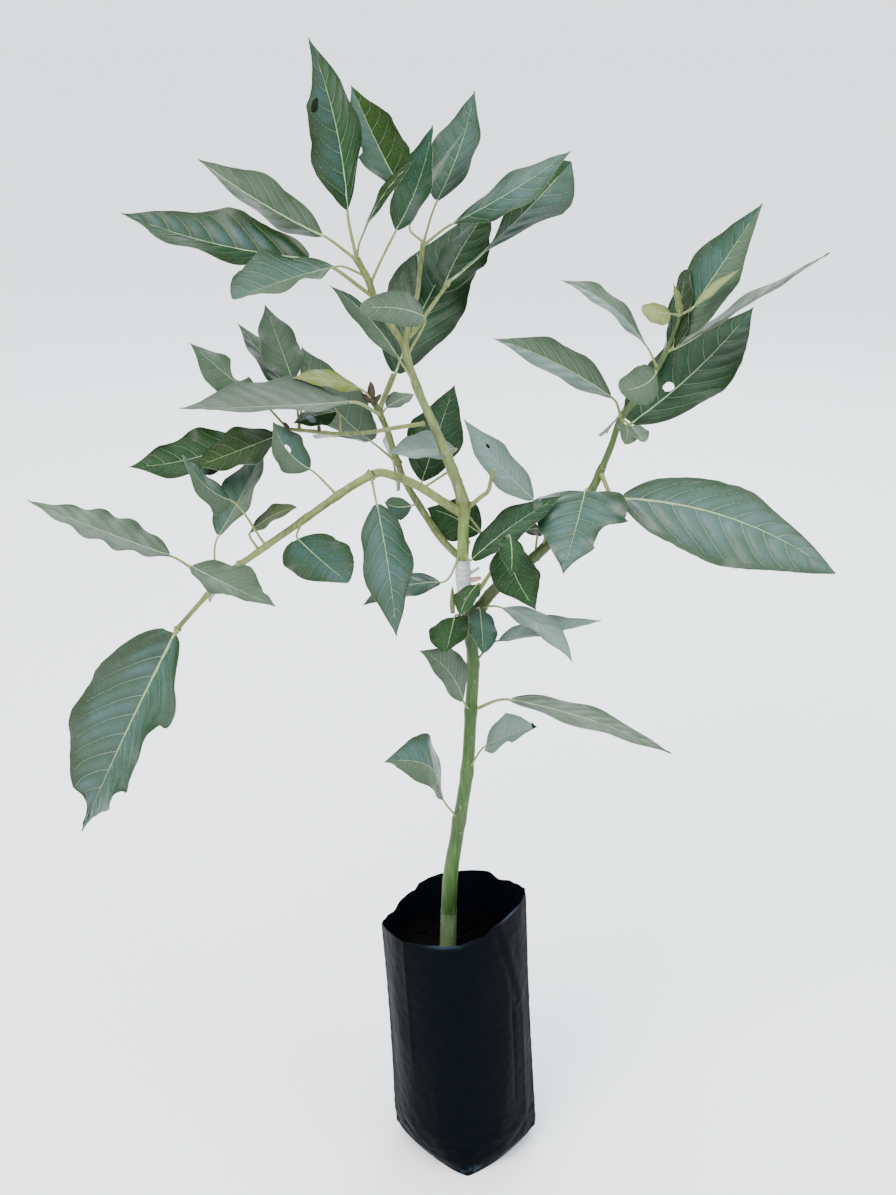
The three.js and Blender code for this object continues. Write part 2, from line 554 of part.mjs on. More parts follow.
place('crown_left', spraySolid([['topLeft', CROWN_LEFT]], ['leader']), FOLIAGE);
place('crown_right', spraySolid(
  [['topRight', CROWN_RIGHT], ['sideTop', CROWN_SIDE]], ['leader', 'topLeft']), FOLIAGE);
place('crown_back', spraySolid(
  [['backStem', BACK_CROWN], ['backBranch', BACK_BRANCH]], ['backBough']), FOLIAGE);
place('crown_bough_right', spraySolid([['rightStem', RIGHT_CROWN]], ['rightBough']), FOLIAGE);
place('crown_twig_left', spraySolid([['twigStem', TWIG_CROWN]], ['leader']), FOLIAGE);
place('crown_bough_left', spraySolid([['leftStem', LEFT_CROWN]], ['leftFall']), FOLIAGE);
place('spray_graft', spraySolid([['graftTwig', GRAFT_SPRAY]], ['stock', 'rightBough']), FOLIAGE);

for (const [name, stem, leaf] of LONE_LEAVES) {
  const near = [stem, ...NEAR_LEAF_ROOTS[stem]].map(sleeve);
  place(name, near.reduce((whole, limb) => whole.subtract(limb), leafSolid(stem, leaf)), FOLIAGE);
}

export default tree;
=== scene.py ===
import math

import bpy
from mathutils import Matrix, Vector, noise


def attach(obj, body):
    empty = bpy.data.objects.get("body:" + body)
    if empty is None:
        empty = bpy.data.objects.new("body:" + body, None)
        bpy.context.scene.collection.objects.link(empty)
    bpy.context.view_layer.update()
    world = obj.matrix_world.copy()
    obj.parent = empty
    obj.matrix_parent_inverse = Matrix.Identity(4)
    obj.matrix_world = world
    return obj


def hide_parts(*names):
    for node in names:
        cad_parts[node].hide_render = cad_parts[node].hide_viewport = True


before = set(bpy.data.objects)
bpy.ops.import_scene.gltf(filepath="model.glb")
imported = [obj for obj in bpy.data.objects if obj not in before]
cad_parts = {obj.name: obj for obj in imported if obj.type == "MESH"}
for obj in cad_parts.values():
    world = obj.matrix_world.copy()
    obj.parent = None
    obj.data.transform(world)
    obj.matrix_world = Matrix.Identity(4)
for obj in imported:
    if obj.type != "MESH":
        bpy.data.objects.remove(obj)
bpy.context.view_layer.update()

# A young grafted avocado tree in a black polythene nursery bag.
# Sizes and places are in millimetres, with +Z up and the origin under the middle of the bag.

MM = 0.001
BODY = "root"

# ---------- sizes ----------

SOIL_TOP = 178
FILM = 0.5                    # the bag's film with its dust and folds, as it shows at the rim
RIM_MEAN = 216
BAG_SHIFT = -11               # the bag's axis has moved this far along X at the rim
TAPE_FOOT, TAPE_TOP = 484, 509
CAMERA_AT = Vector((-16, -1023, 870))
UP = Vector((0, 0, 1))

# The bag's section at a few heights: half sizes along X and Y, and how square it is.
BAG_SECTIONS = [
    (0, 52, 56.5, 1.25),
    (14, 57.5, 55.5, 1.6),
    (32, 57, 55.5, 1.9),
    (110, 56.5, 56, 2.0),
    (190, 56.3, 55.5, 2.0),
    (250, 56.3, 55.5, 2.0),
]

# The rim's height at some turns round the bag, in degrees from +X.
RIM = [
    (0, 232), (21, 224), (34, 221), (48, 217), (58, 220), (99, 215), (110, 213), (121, 210),
    (127, 205), (142, 202), (153, 197), (168, 200), (183, 205), (222, 211), (242, 215),
    (259, 217), (270, 218), (290, 222), (310, 231), (336, 234), (347, 237), (360, 232),
]

# Limbs, each a row of x, y, z and diameter from its foot to its tip.
LIMB_ROWS = {
    "stock": [
        (-17.5, 0, 168, 15.5), (-16, 0, 184, 13), (-14.4, 0, 240, 12), (-9.4, 0, 280, 10.6),
        (-1.5, 0, 336, 9.6), (1.3, 0, 390, 9.4), (2.6, 0, 429, 9.2), (-1.3, 0, 468, 8.8),
        (-5, 0, 497, 8.2),
    ],
    "leader": [
        (-5, 0, 497, 7.5), (-5.2, 0, 523, 7.4), (-5.3, 0, 550, 8.8), (-13, 2, 575, 7.5),
        (-24.5, 6, 603, 6.3), (-35.5, 10, 627, 5.8), (-44, 14, 651, 5.3), (-46, 16, 661, 5.2),
    ],
    "top_left": [
        (-46, 16, 661, 5), (-54, 12, 674, 4.7), (-64, 6, 691, 4.3), (-70, 0, 709, 4.3),
        (-77, -8, 724, 4.5),
    ],
    "top_right": [
        (-46, 16, 661, 4.2), (-42.5, 22, 678, 3.7), (-37.5, 30, 694, 3.4), (-35.5, 36, 710, 3.2),
        (-33.5, 42, 728, 3.2),
    ],
    "top_side": [
        (-44, 18, 666, 3.1), (-37.5, 24, 672, 2.9), (-28.5, 32, 684, 2.5), (-17, 38, 699, 2.2),
    ],
    "back_bough": [
        (-5.2, 2, 508, 5.6), (-12, 7, 512.5, 5.4), (-22, 12, 522, 5.2), (-33, 16, 538, 5),
        (-47, 20, 561, 4.7), (-52, 21.5, 574, 4.5),
    ],
    "back_stem": [
        (-52, 21.5, 574, 4.7), (-57, 21.5, 590, 4.5), (-60, 20, 601, 4.3),
        (-65.5, 16, 615, 4.1), (-69.5, 14, 624, 4.8),
    ],
    "back_branch": [(-65, 17, 613, 3.1), (-62, 30, 622, 2.7), (-56, 48, 634, 2.4)],
    "left_rise": [
        (-5.3, 0, 543, 6.6), (-18, -10, 554.5, 6.3), (-39, -24, 572.5, 6), (-59, -38, 584.5, 5.9),
        (-67.5, -44, 585.5, 5.9),
    ],
    "left_fall": [
        (-67.5, -44, 585.5, 5.9), (-85.5, -50, 576, 5.5), (-109, -56, 560.5, 5),
        (-136, -62, 542.5, 4.5), (-159.5, -66, 526.5, 4.1),
    ],
    "left_stem": [
        (-159.5, -66, 526.5, 4.1), (-174, -69, 514, 3.8), (-186.5, -73, 501, 3.3),
        (-200, -76, 486, 3),
    ],
    "twig_stem": [
        (-33, 7, 607.5, 3.2), (-49.5, -2, 607.5, 3), (-70, -12, 606.5, 2.8), (-90, -20, 607.5, 2.7),
        (-103.5, -25, 610, 2.6), (-116.5, -30, 612.5, 2.4), (-124.5, -32, 614, 2.2),
    ],
    "right_bough": [
        (1, 0, 457, 9.6), (6, 3, 467, 9.2), (16.5, 6, 481.5, 8.6), (33, 10, 495.5, 7.9),
        (55, 14, 513.5, 7.1), (86, 24, 550, 6.1), (96, 29, 569, 5.8),
    ],
    "right_stem": [
        (96, 29, 569, 5.1), (102.5, 33, 584.5, 4.8), (109.5, 36, 604.5, 4.4), (125.5, 38, 626, 3.8),
        (138.5, 38, 650, 3.4), (146, 36, 671.5, 2.9), (147, 34, 681.5, 2.5),
    ],
    "graft_twig": [
        (-3, 0, 472, 3.8), (6.5, -7, 488, 3.4), (12.5, -12, 499.5, 2.9), (18, -20, 511.5, 2.7),
    ],
    "fork_stub": [
        (-5, 0, 545, 3.6), (7, 0, 555.5, 3.2), (12.5, -2, 561, 3), (14.5, -3, 570, 2.8),
        (16.5, -4, 577.5, 2.6),
    ],
}


# What a leaf's shape may give. Places along a blade run from 0 at its base to 1 at its tip, and
# places across it from -1 to 1. Where nothing is given, class Blade has the usual value.
#   arch, bow     how far the midrib rises, and how far it bends sideways, of its length
#   fold          degrees that each half stands up from the middle
#   twist         degrees that the blade turns from base to tip
#   skew, lean    how much wider the half at 1 is, and how much nearer the tip it is widest
#   taper, drawn  how pointed the outline is towards its base, and towards its tip
#   peak          where the blade is widest
#   wave, waves   the ripple of its margin: how high, of its half width, and how many
#   bands    how much painted shade lies in the hollows along its side veins
#   cuts          torn margins, each a side, a place, how far it reaches and how deep it is
#   holes         each a place, a place across, a radius and how many times as long as wide
#   flecks        spots, each a place, a place across, a radius and a finish
#   left          the finish of the half at -1, where that differs; a teal or silver half paints the sky's sheen that falls on it
#   turned        1 where the blade is turned over, so its finish is on its lower face


def leaf(place, petiole, blade, width, roll, finish, **shape):
    """One leaf: its place on its limb from 0 to 1, the runs of its petiole and its blade along
    X, Y and Z, the blade's width, its roll from facing up in degrees, its finish and its shape."""
    return dict(place=place, petiole=Vector(petiole), blade=Vector(blade), width=width,
                roll=roll, finish=finish, shape=shape)


TOP_LEFT_LEAVES = [
    leaf(1, (-5, -6, 32), (-20, -26, 107), 48, -91, "green", arch=0, fold=-8, bow=0.06, taper=1.1,
        bands=0.5, cuts=[(-1, 0.82, 0.15, 0.36)],
        flecks=[(0.64, -0.66, 3.4, "spot"), (0.655, -0.62, 1.2, "teal")], left="deep_teal"),
    leaf(0.58, (-42, -4, 26), (-130, 20, 28), 49, -29, "deep_teal", arch=0, fold=24, bow=-0.06,
        bands=0.8, cuts=[(-1, 0.9, 0.1, 0.25)], wave=0.14, left="dusk"),
    leaf(0.79, (-19, -17, 9), (-62, -52, -13), 48, -15, "teal", fold=24, taper=0.8, drawn=0.6,
        peak=0.55, wave=0.14, left="grey"),
    leaf(0.98, (-22, -5, 17), (-86, 37, 46), 40, 59, "grey", arch=0, fold=16, bow=0.04, taper=1,
        turned=1),
    leaf(1, (4, -14, 15), (36, -33, 52), 12, 68, "olive_dark", fold=4, bow=-0.06, taper=0.7,
        twist=70),
    leaf(0.69, (20, 12, 63), (-32, 16, 65), 45, -18, "vivid", arch=0, bow=-0.02, taper=0.8,
        cuts=[(-1, 0.42, 0.05, 0.3)], left="teal"),
    leaf(0.7, (18, -3, 36), (25, -6, 68), 40, 48, "deep_teal", arch=-0.02, fold=10, bow=0.06,
        skew=-0.1, taper=1, cuts=[(1, 0.88, 0.06, 0.6)]),
]
TOP_RIGHT_LEAVES = [
    leaf(1, (-8, -20, 16), (36, 8, 59), 20, -1, "pale", fold=4, bow=-0.04, taper=1.1),
    leaf(0.98, (10, 4, 29), (26, 20, 72), 43, 6, "teal", arch=0, bow=0.06, skew=-0.1),
    leaf(0.97, (20, -3, 15), (80, -16, 50), 39, 35, "teal", arch=0, fold=-4, bow=0.04, taper=1,
        peak=0.52, left="teal_light"),
]
TOP_SIDE_LEAVES = [
    leaf(1, (2, 0, 3), (86, 37, 78), 42, 12, "teal", arch=0, fold=-4, bow=0.04, taper=0.7, drawn=1,
        twist=110, peak=0.74, wave=0.1, left="deep"),
    leaf(0.79, (4, 10, 4), (36, 41, 55), 44, -2, "deep", arch=0, fold=-14, bow=-0.06, left="dusk"),
]
BACK_LEAVES = [
    leaf(0.69, (-19, -30, 16), (-106, -64, 11), 48, -13, "pale", fold=20, bow=-0.06, skew=0.1),
    leaf(0.93, (-9, -7, 11), (-44, -30, 14), 21, -31, "olive", fold=2, bow=0.06),
    leaf(0.01, (-18, -8, 18), (-51, 34, 62), 46, -10, "grey", arch=-0.04, fold=18, bow=-0.08,
        taper=0.7),
    leaf(0.67, (4, 7, 4), (20, 16, 6), 16, 20, "pale", arch=0.04, bow=-0.02, skew=-0.1,
        left="grey"),
]
BACK_BRANCH_LEAVES = [
    leaf(0.11, (10, 30, 18), (66, 70, 111), 65, 17, "dusk", arch=0, bow=-0.04,
        flecks=[(0.55, 0.3, 1.4, "pale")]),
]
RIGHT_LEAVES = [
    leaf(0.33, (-8, -8, 17), (-86, -28, 48), 36, -40, "grey", arch=0, fold=10, bow=0.06, skew=0.1,
        lean=-0.1, bands=0.8, left="silver"),
    leaf(0.6, (-10, -8, 18), (-63, -22, 49), 32, -30, "grey", arch=0.06, fold=4, bow=0.06, skew=0.1,
        taper=0.8, left="silver"),
    leaf(0.31, (9, 12, -5), (96, 57, 76), 59, 26, "dusk", arch=0, fold=12, bow=0.04, lean=0.1,
        taper=0.8, holes=[(0.31, -0.16, 3.6, 1.35)]),
    leaf(0.69, (4, 2, 8), (52, -26, 97), 44, 63, "grey", arch=0, left="teal"),
    leaf(0.69, (10, 6, 2), (109, 28, 62), 40, -13, "olive_dark", arch=0, left="grey"),
    leaf(0.69, (4, -2, 2), (8, 10, 54), 27, -26, "olive_dark", arch=0, fold=0, taper=0.6,
        drawn=0.4),
    leaf(0.95, (-7, -5, 2), (-22, -12, 5), 17, -55, "young", arch=0, fold=-4, bow=-0.02, skew=-0.1,
        taper=0.6, drawn=0.4),
    leaf(0.95, (-1, -7, 2), (-6, -2, 22), 11, -50, "young", taper=1),
    leaf(0.95, (7, -17, 9), (27, -16, 28), 11, 40, "young", taper=1),
    leaf(0.59, (-2, -12, 0), (-30, -40, -2), 27, -65, "grey", fold=2, bow=-0.08, taper=0.6,
        drawn=0.4),
    leaf(0.33, (1, -10, -2), (-2, -28, -7), 19, -31, "grey", arch=0.12, fold=4, taper=0.6,
        drawn=0.6),
    leaf(0.33, (6, -10, -3), (7, -22, -6), 17, -1, "grey", taper=0.6, drawn=0.6),
]
TWIG_LEAVES = [
    leaf(1, (-18, 4, 18), (-43, -16, 43), 35, -42, "grey", arch=-0.02, fold=-6, skew=-0.1,
        cuts=[(1, 0.36, 0.12, 0.75)]),
    leaf(0.84, (-3, 22, 15), (-42, 22, 50), 32, -1, "grey", arch=0, fold=12, left="dusk"),
    leaf(0.84, (-6, 24, 29), (-19, 18, 49), 42, 10, "grey", arch=0, fold=0),
    leaf(0.5, (-3, 6, 14), (-28, -16, -4), 21, -22, "deep", arch=0, fold=-8, bow=0.04,
        flecks=[(0.6, -0.2, 3.4, "silver")]),
    leaf(1, (-31, 10, -10), (-78, -16, -15), 42, -30, "deep", arch=0, fold=12, bow=-0.08,
        wave=0.16),
    leaf(1, (-7, -8, -3), (-55, -14, -18), 48, -16, "vivid", fold=6, bow=-0.04, taper=0.8),
]
LEFT_LEAVES = [
    leaf(0.32, (2, 9, 32), (31, 32, 56), 44, -11, "grey", arch=0, fold=12, bow=0.04,
        left="teal_light"),
    leaf(0.36, (-26, -7, 25), (-88, -16, 44), 41, -13, "grey", arch=0, fold=12, bow=-0.02,
        lean=-0.1, wave=0.1, waves=4.6, left="pale"),
    leaf(0.36, (-12, -15, 21), (59, -28, -18), 37, 8, "grey", arch=0, fold=12, bow=0.02, skew=-0.1,
        taper=1, wave=0.14, cuts=[(1, 0.5, 0.07, 0.2), (1, 0.86, 0.1, 0.4), (-1, 0.8, 0.06, 0.2)]),
    leaf(1, (-1, 0, -2), (-82, 14, -164), 68, -72, "teal", fold=34, taper=0.6, drawn=1.4, bands=0.6,
        cuts=[(-1, 0.22, 0.07, -0.22), (-1, 0.45, 0.16, 0.36), (-1, 0.7, 0.07, 0.25),
              (-1, 0.86, 0.05, 0.15), (-1, 0.93, 0.05, 0.25), (1, 0.88, 0.07, 0.6)],
        wave=0.1, waves=3.3, left="teal_light"),
]
GRAFT_LEAVES = [
    leaf(1, (7, -6, 17), (20, -30, -37), 41, -2, "deep", arch=0, fold=0, bow=0.08, taper=0.8),
    leaf(1, (9, -14, 26), (0, -26, -20), 20, -20, "deep", arch=0.08),
]
LONE_LEAVES = [
    ("leaf_stock_low_left", "stock", leaf(0.41, (-14, -14, 31), (-41, -38, 46), 47, -49,
        "teal_light", arch=0.18, fold=4, bow=0.08, skew=0.1, taper=0.8, drawn=1,
        cuts=[(-1, 0.97, 0.06, 0.6)],
        flecks=[(0.3, -0.55, 1.4, "dry"), (0.42, -0.6, 1, "dry"), (0.52, 0.35, 1.2, "pale")],
        left="grey")),
    ("leaf_stock_low_right", "stock", leaf(0.5, (14, -14, 30), (35, -46, 38), 29, 52, "silver",
        arch=0, fold=28, bow=-0.02, cuts=[(1, 0.55, 0.1, 0.35), (1, 0.8, 0.08, 0.4)],
        flecks=[(0.95, 0, 2.4, "spot")])),
    ("leaf_stock_long_right", "stock", leaf(0.62, (28, -8, 13), (118, -36, -27), 33, 3, "grey",
        fold=6, bow=-0.04, lean=0.1, taper=0.8)),
    ("leaf_stock_mid_left", "stock", leaf(0.62, (-6, -14, 15), (-32, -16, 47), 32, -56, "grey",
        arch=0.06, fold=10, bow=0.08, skew=0.1)),
    ("leaf_stock_upper_right", "stock", leaf(0.74, (18, -9, 23), (74, -10, 20), 31, 4, "silver",
        fold=24, bow=0.08)),
    ("leaf_graft_left", "stock", leaf(0.84, (-11, -14, 12), (-6, -26, -17), 35, 22, "green", arch=0,
        taper=0.5, drawn=0.8, left="deep")),
    ("leaf_graft_right", "stock", leaf(0.87, (8, -12, 8), (2, -30, -22), 25, -30, "teal", fold=6,
        taper=0.5, drawn=0.8, left="teal_light")),
    ("leaf_graft_front", "stock", leaf(0.89, (7, -12, 22), (-13, -22, -16), 21, 10, "green",
        arch=0.04, fold=4, bow=0.04, skew=0.1, lean=-0.1, flecks=[(0.5, 0.1, 1.3, "pale")])),
    ("leaf_graft_back", "leader", leaf(0.12, (-16, -10, -24), (-56, -16, -12), 27, -19, "teal",
        arch=0.04, fold=0, bow=0.08, skew=0.1, taper=0.8)),
    ("leaf_scion_right", "leader", leaf(0.1, (6, -8, -4), (65, 8, 46), 37, 18, "dusk", arch=0,
        fold=6, bow=-0.06, taper=0.8)),
    ("leaf_fork_round", "leader", leaf(0.27, (12, 14, -23), (-39, 30, 10), 36, -40, "deep", fold=2,
        bow=0.04)),
    ("leaf_leader_dark", "leader", leaf(0.43, (-22, 24, -16), (24, 26, 66), 48, 8, "dusk", arch=0,
        taper=1.1)),
    ("leaf_leader_pale", "leader", leaf(0.48, (6, 13, 2), (-48, -16, 1), 32, -22, "silver", fold=18,
        bow=-0.02, flecks=[(0.2, -0.5, 1.2, "dry"), (0.27, -0.3, 0.9, "dry")])),
    ("leaf_leader_folded", "leader", leaf(0.75, (-12, -11, 22), (-44, -26, 54), 20, -57,
        "deep_teal", arch=0, fold=-16, bow=0.08, lean=-0.1, left="grey")),
    ("leaf_leader_curled", "leader", leaf(0.88, (12, -20, 32), (-40, -50, 14), 23, -80, "grey",
        arch=0.06, fold=4, bow=0.04, taper=0.6, drawn=0.4)),
    ("leaf_right_foot", "right_bough", leaf(0.21, (15, -25, 9), (48, -38, -26), 28, 0, "silver",
        arch=0.06, fold=10, bow=-0.08, taper=0.8)),
    ("leaf_right_small", "right_bough", leaf(0.66, (-2, -6, 17), (-17, -12, 3), 17, -26, "vivid",
        fold=4, taper=1)),
    ("leaf_right_pale", "right_bough", leaf(0.62, (-2, 6, 41), (-51, 10, 58), 35, -25, "silver",
        arch=0, fold=2, bow=-0.04, taper=0.8, bands=0.6, flecks=[(0.66, 0.2, 1.6, "spot")])),
    ("leaf_right_broad", "right_bough", leaf(0.84, (-4, -12, 6), (-19, -56, -44), 67, 4,
        "teal_light", arch=0.04, fold=4, bow=-0.02, taper=0.6, peak=0.25, bands=0.5, wave=0.14,
        cuts=[(-1, 0.38, 0.06, -0.12), (-1, 0.56, 0.12, 0.26)])),
    ("leaf_right_long", "right_bough", leaf(0.97, (12, -22, -13), (150, -40, -43), 65, 42,
        "teal_light", fold=-8, bow=-0.08, skew=0.1, lean=0.1, drawn=1, bands=0.5)),
    ("leaf_left_hanging", "left_fall", leaf(0.01, (4, -12, -16), (13, -18, -90), 48, -13, "teal",
        fold=-6, skew=-0.1)),
    ("leaf_left_upper", "left_fall", leaf(0.31, (-18, 1, 18), (-22, -14, 37), 33, -58, "teal_light",
        arch=-0.06, fold=-4, bow=-0.08, skew=0.1, lean=-0.1, holes=[(0.5, 0.1, 2, 2)],
        left="grey")),
    ("leaf_left_round", "left_fall", leaf(0.55, (-3, -9, -10), (36, -34, -19), 49, 9, "deep_teal",
        arch=0, fold=2, bow=0.02, taper=0.6, drawn=0.8, wave=0.06)),
    ("leaf_left_curled", "left_fall", leaf(0.78, (-20, -18, 38), (-23, -34, 39), 34, -49, "teal",
        arch=-0.04, fold=-6, bow=-0.08, taper=0.8, drawn=0.6, left="grey")),
    ("leaf_left_small", "left_fall", leaf(0.83, (-6, 5, 12), (33, -8, 20), 22, 23, "sage",
        arch=0.04, bow=-0.06, drawn=0.8)),
    ("leaf_back_grey", "back_bough", leaf(0.67, (-4, -9, 1), (-19, -18, 8), 18, -56, "grey",
        arch=-0.08, fold=-14, bow=-0.06, left="teal")),
]


# ---------- leaves at the rear ----------

# Leaves on the far side of a limb stand edge on to the front, by a seeded rule.
REAR_LENGTH = 94
REAR_SPREAD = 0.3             # between the longest and the shortest, of that length
REAR_WIDTH = 0.4              # of a leaf's own length
REAR_WAVE = 0.06
REAR_PETIOLE = 22
REAR_SWAY = 32                # degrees between the highest and the lowest
REAR_RISE = 1.5               # how much further a petiole sways than its blade

# Where they stand on their limbs, and the seed of each limb's draws.
REAR_PLACES = {
    "top_right": ([0.9], 11), "back_stem": ([0.35], 21), "right_stem": ([0.42, 0.66], 31),
    "twig_stem": ([0.72], 41), "left_stem": ([0.5], 51), "stock": ([0.8], 61),
    "leader": ([0.3], 71), "right_bough": ([0.72], 81),
}

# A seeded row of numbers: each is the last one times this, with what is over the limit dropped.
DRAW_TIMES = 16807
DRAW_LIMIT = 2 ** 31 - 1


def seeded(seed):
    """Returns a function that gives the next number of a fixed row of them, from 0 to 1."""
    state = seed

    def draw():
        nonlocal state
        state = state * DRAW_TIMES % DRAW_LIMIT
        return state / DRAW_LIMIT
    return draw


def rear_leaves(limb):
    """Leaves on the far side, which lie in the plane of their stem and of the line of sight."""
    places, seed = REAR_PLACES.get(limb, ([], 0))
    line, draw = LIMBS[limb], seeded(seed)
    leaves = []
    for place in places:
        sight = (line.at(place) - CAMERA_AT).normalized()
        stem = line.at(place + 0.02) - line.at(place - 0.02)
        rise = (stem - sight * stem.dot(sight)).normalized()
        sway = math.radians(REAR_SWAY * (draw() - 0.5))
        along = sight * math.cos(sway) + rise * math.sin(sway)
        length = REAR_LENGTH * (1 - REAR_SPREAD / 2 + REAR_SPREAD * draw())
        face = (UP - along * UP.dot(along)).normalized()
        roll = math.degrees(math.atan2(-stem.dot(face), stem.dot(along.cross(face))))
        petiole = REAR_PETIOLE * (sight + rise * math.sin(sway) * REAR_RISE).normalized()
        leaves.append(leaf(place, petiole, along * length, REAR_WIDTH * length, roll, "deep",
                           wave=REAR_WAVE))
    return leaves


# ---------- corners and faces that become one mesh ----------

SHADE = "shade"               # the mesh attribute that the finishes read


class Shape:
    """The points and faces of one piece, as they are added."""

    def __init__(self):
        self.points = []
        self.shades = []
        self.faces = []
        self.finishes = []

    def add(self, points, faces, finish, shades=()):
        """Adds faces with one finish, or with one for each. A shade is how far a point goes to its
        finish's second colour, from 0 to 1: painted shade on a leaf, browning on bark and painted
        highlights on the film."""
        first = len(self.points)
        self.points.extend(points)
        self.shades.extend(shades or [0.0] * len(points))
        self.faces.extend(tuple(first + i for i in face) for face in faces)
        self.finishes.extend([finish] * len(faces) if isinstance(finish, str) else finish)

    def piece(self, name, slot, nodes, sharp=70):
        """Makes the piece that stands for these nodes, with one material for each finish that
        its faces name. Edges sharper than this many degrees stay sharp."""
        mesh = bpy.data.meshes.new(name)
        mesh.from_pydata([point * MM for point in self.points], [], self.faces)
        used = sorted(set(self.finishes))
        for finish in used:
            mesh.materials.append(FINISHES[finish])
        order = {finish: i for i, finish in enumerate(used)}
        mesh.polygons.foreach_set("material_index", [order[f] for f in self.finishes])
        mesh.polygons.foreach_set("use_smooth", [True] * len(self.faces))
        shade = mesh.attributes.new(SHADE, "FLOAT", "POINT")
        shade.data.foreach_set("value", self.shades)
        mesh.update()
        mesh.set_sharp_from_angle(angle=math.radians(sharp))
        made = bpy.data.objects.new(name, mesh)
        bpy.context.scene.collection.objects.link(made)
        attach(made, BODY)
        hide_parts(*nodes)


def ring_faces(rings, around, first=0, flip=False):
    """Faces between rings of points that follow one another from the first point on."""
    faces = []
    for i in range(rings - 1):
        for k in range(around):
            a, b = first + i * around + k, first + i * around + (k + 1) % around
            face = (a, b, b + around, a + around)
            faces.append(face[:1] + face[:0:-1] if flip else face)
    return faces


def fan_faces(middle, first, around, flip=False):
    """Faces from one point to each side of the ring that starts at another."""
    sides = [(first + k, first + (k + 1) % around) for k in range(around)]
    return [(middle, b, a) if flip else (middle, a, b) for a, b in sides]


def sheet_faces(upper, count):
    """The under side of a thin sheet, whose points follow all those of its upper side, and the
    strip of faces round its open edges."""
    edges = {}
    for face in upper:
        for a, b in zip(face, face[1:] + face[:1]):
            if (b, a) in edges:
                del edges[(b, a)]
            else:
                edges[(a, b)] = True
    under = [tuple(count + corner for corner in face[::-1]) for face in upper]
    return under, [(b, a, count + a, count + b) for a, b in edges]


def bump(distance, width):
    """A smooth hump, 1 at no distance and near 0 past the width."""
    return math.exp(-(distance / width) ** 2)


def rough(point, size, seed=0.0):
    """Even noise from -1 to 1 with hollows and humps of about that size."""
    return noise.noise(point / size + Vector((seed, 2 * seed, 3 * seed)))


# ---------- lines and round bodies ----------

class Line:
    """A smooth line through a row of places, each with a diameter."""

    def __init__(self, rows):
        self.points = [Vector(row[:3]) for row in rows]
        self.widths = [row[3] for row in rows]
        self.spans = len(rows) - 1

    def at(self, place):
        """The point at a place from 0 at the foot to 1 at the tip."""
        place = min(max(place, 0), 1)
        span = min(int(place * self.spans), self.spans - 1)
        share = place * self.spans - span
        start, end = self.points[span], self.points[span + 1]
        before = self.points[span - 1] if span else 2 * start - end
        after = self.points[span + 2] if span + 2 <= self.spans else 2 * end - start
        leave, arrive = (end - before) / 2, (after - start) / 2
        return (start + leave * share + (3 * (end - start) - 2 * leave - arrive) * share ** 2
                + (2 * (start - end) + leave + arrive) * share ** 3)

    def width(self, place):
        span = min(int(place * self.spans), self.spans - 1)
        share = place * self.spans - span
        return self.widths[span] + (self.widths[span + 1] - self.widths[span]) * share

    def length(self):
        return sum((b - a).length for a, b in zip(self.points, self.points[1:]))


LIMBS = {name: Line(rows) for name, rows in LIMB_ROWS.items()}

TUBE_SIDE = Vector((0.31, 0.95, 0.05))    # about the way from an axis to each ring's first point


def tube(shape, point_at, radius_at, steps, around, finish_at, relief=None, shade_at=None):
    """A round closed body along a line, with its finish, the relief over its radius and its
    shade, which may all change along it."""
    centres = [point_at(i / steps) for i in range(steps + 1)]
    side = TUBE_SIDE
    points, shades = [], []
    for i, centre in enumerate(centres):
        ahead = (centres[min(i + 1, steps)] - centres[max(i - 1, 0)]).normalized()
        side = (side - ahead * side.dot(ahead)).normalized()
        across = ahead.cross(side)
        radius = radius_at(i / steps)
        for k in range(around):
            turn = 2 * math.pi * k / around
            out = side * math.cos(turn) + across * math.sin(turn)
            lift = relief(centre + out * radius, i / steps, turn) if relief else 0
            points.append(centre + out * (radius + lift))
            shades.append(shade_at(i / steps) if shade_at else 0.0)
    finishes = [finish_at if isinstance(finish_at, str) else finish_at(i // around / steps)
                for i in range(steps * around)]
    foot = len(points)
    faces = ring_faces(steps + 1, around)
    faces += fan_faces(foot, 0, around, True) + fan_faces(foot + 1, steps * around, around)
    finishes += [finishes[0]] * around + [finishes[-1]] * around
    shape.add(points + [centres[0], centres[-1]], faces, finishes,
              shades + [shades[0], shades[-1]])


# ---------- bark ----------

LIMB_AROUND = 32
RING_STEP = 1.2               # between a limb's rings
NODE_SWELL = 0.14             # of the radius, where a petiole stands
NODE_LENGTH = 4
LIMB_FLARE = 0.9              # how much thicker a limb's radius is at its foot
TWIG_FLARE = 0.6
RIB, LUMP, GRAIN = 0.10, 0.16, 0.07       # how high the bark's relief stands
SPECK, SPECK_FROM = 1.6, 0.52             # how high its specks stand, and how rare they are
FOOT_TOP = 213                # the stock is paler up to here, where a low ridge runs round it
RIDGE_HIGH = 0.45
RIDGE_WIDE = 1.6
SCION_TOP = 552               # the leader is greener up to its fork

LOW_BARKS = {"stock": (FOOT_TOP, "stock_foot"), "leader": (SCION_TOP, "scion")}

# Browned bark: its place on the limb, how far it reaches in millimetres, and how brown it is.
SCARS = {
    "stock": [(0.865, 8, 0.6), (0.56, 5, 0.3), (0.42, 4, 0.3)],
    "right_bough": [(0.0, 40, 0.5), (0.36, 14, 0.3), (0.66, 7, 0.3)],
    "leader": [(0.0, 6, 0.6), (0.285, 4, 0.6), (0.40, 3, 0.4), (0.56, 4, 0.35)],
    "back_bough": [(0.0, 8, 0.6)],
    "left_rise": [(0.0, 8, 0.6), (1.0, 5, 0.4)],
    "left_fall": [(0.0, 5, 0.4)],
}


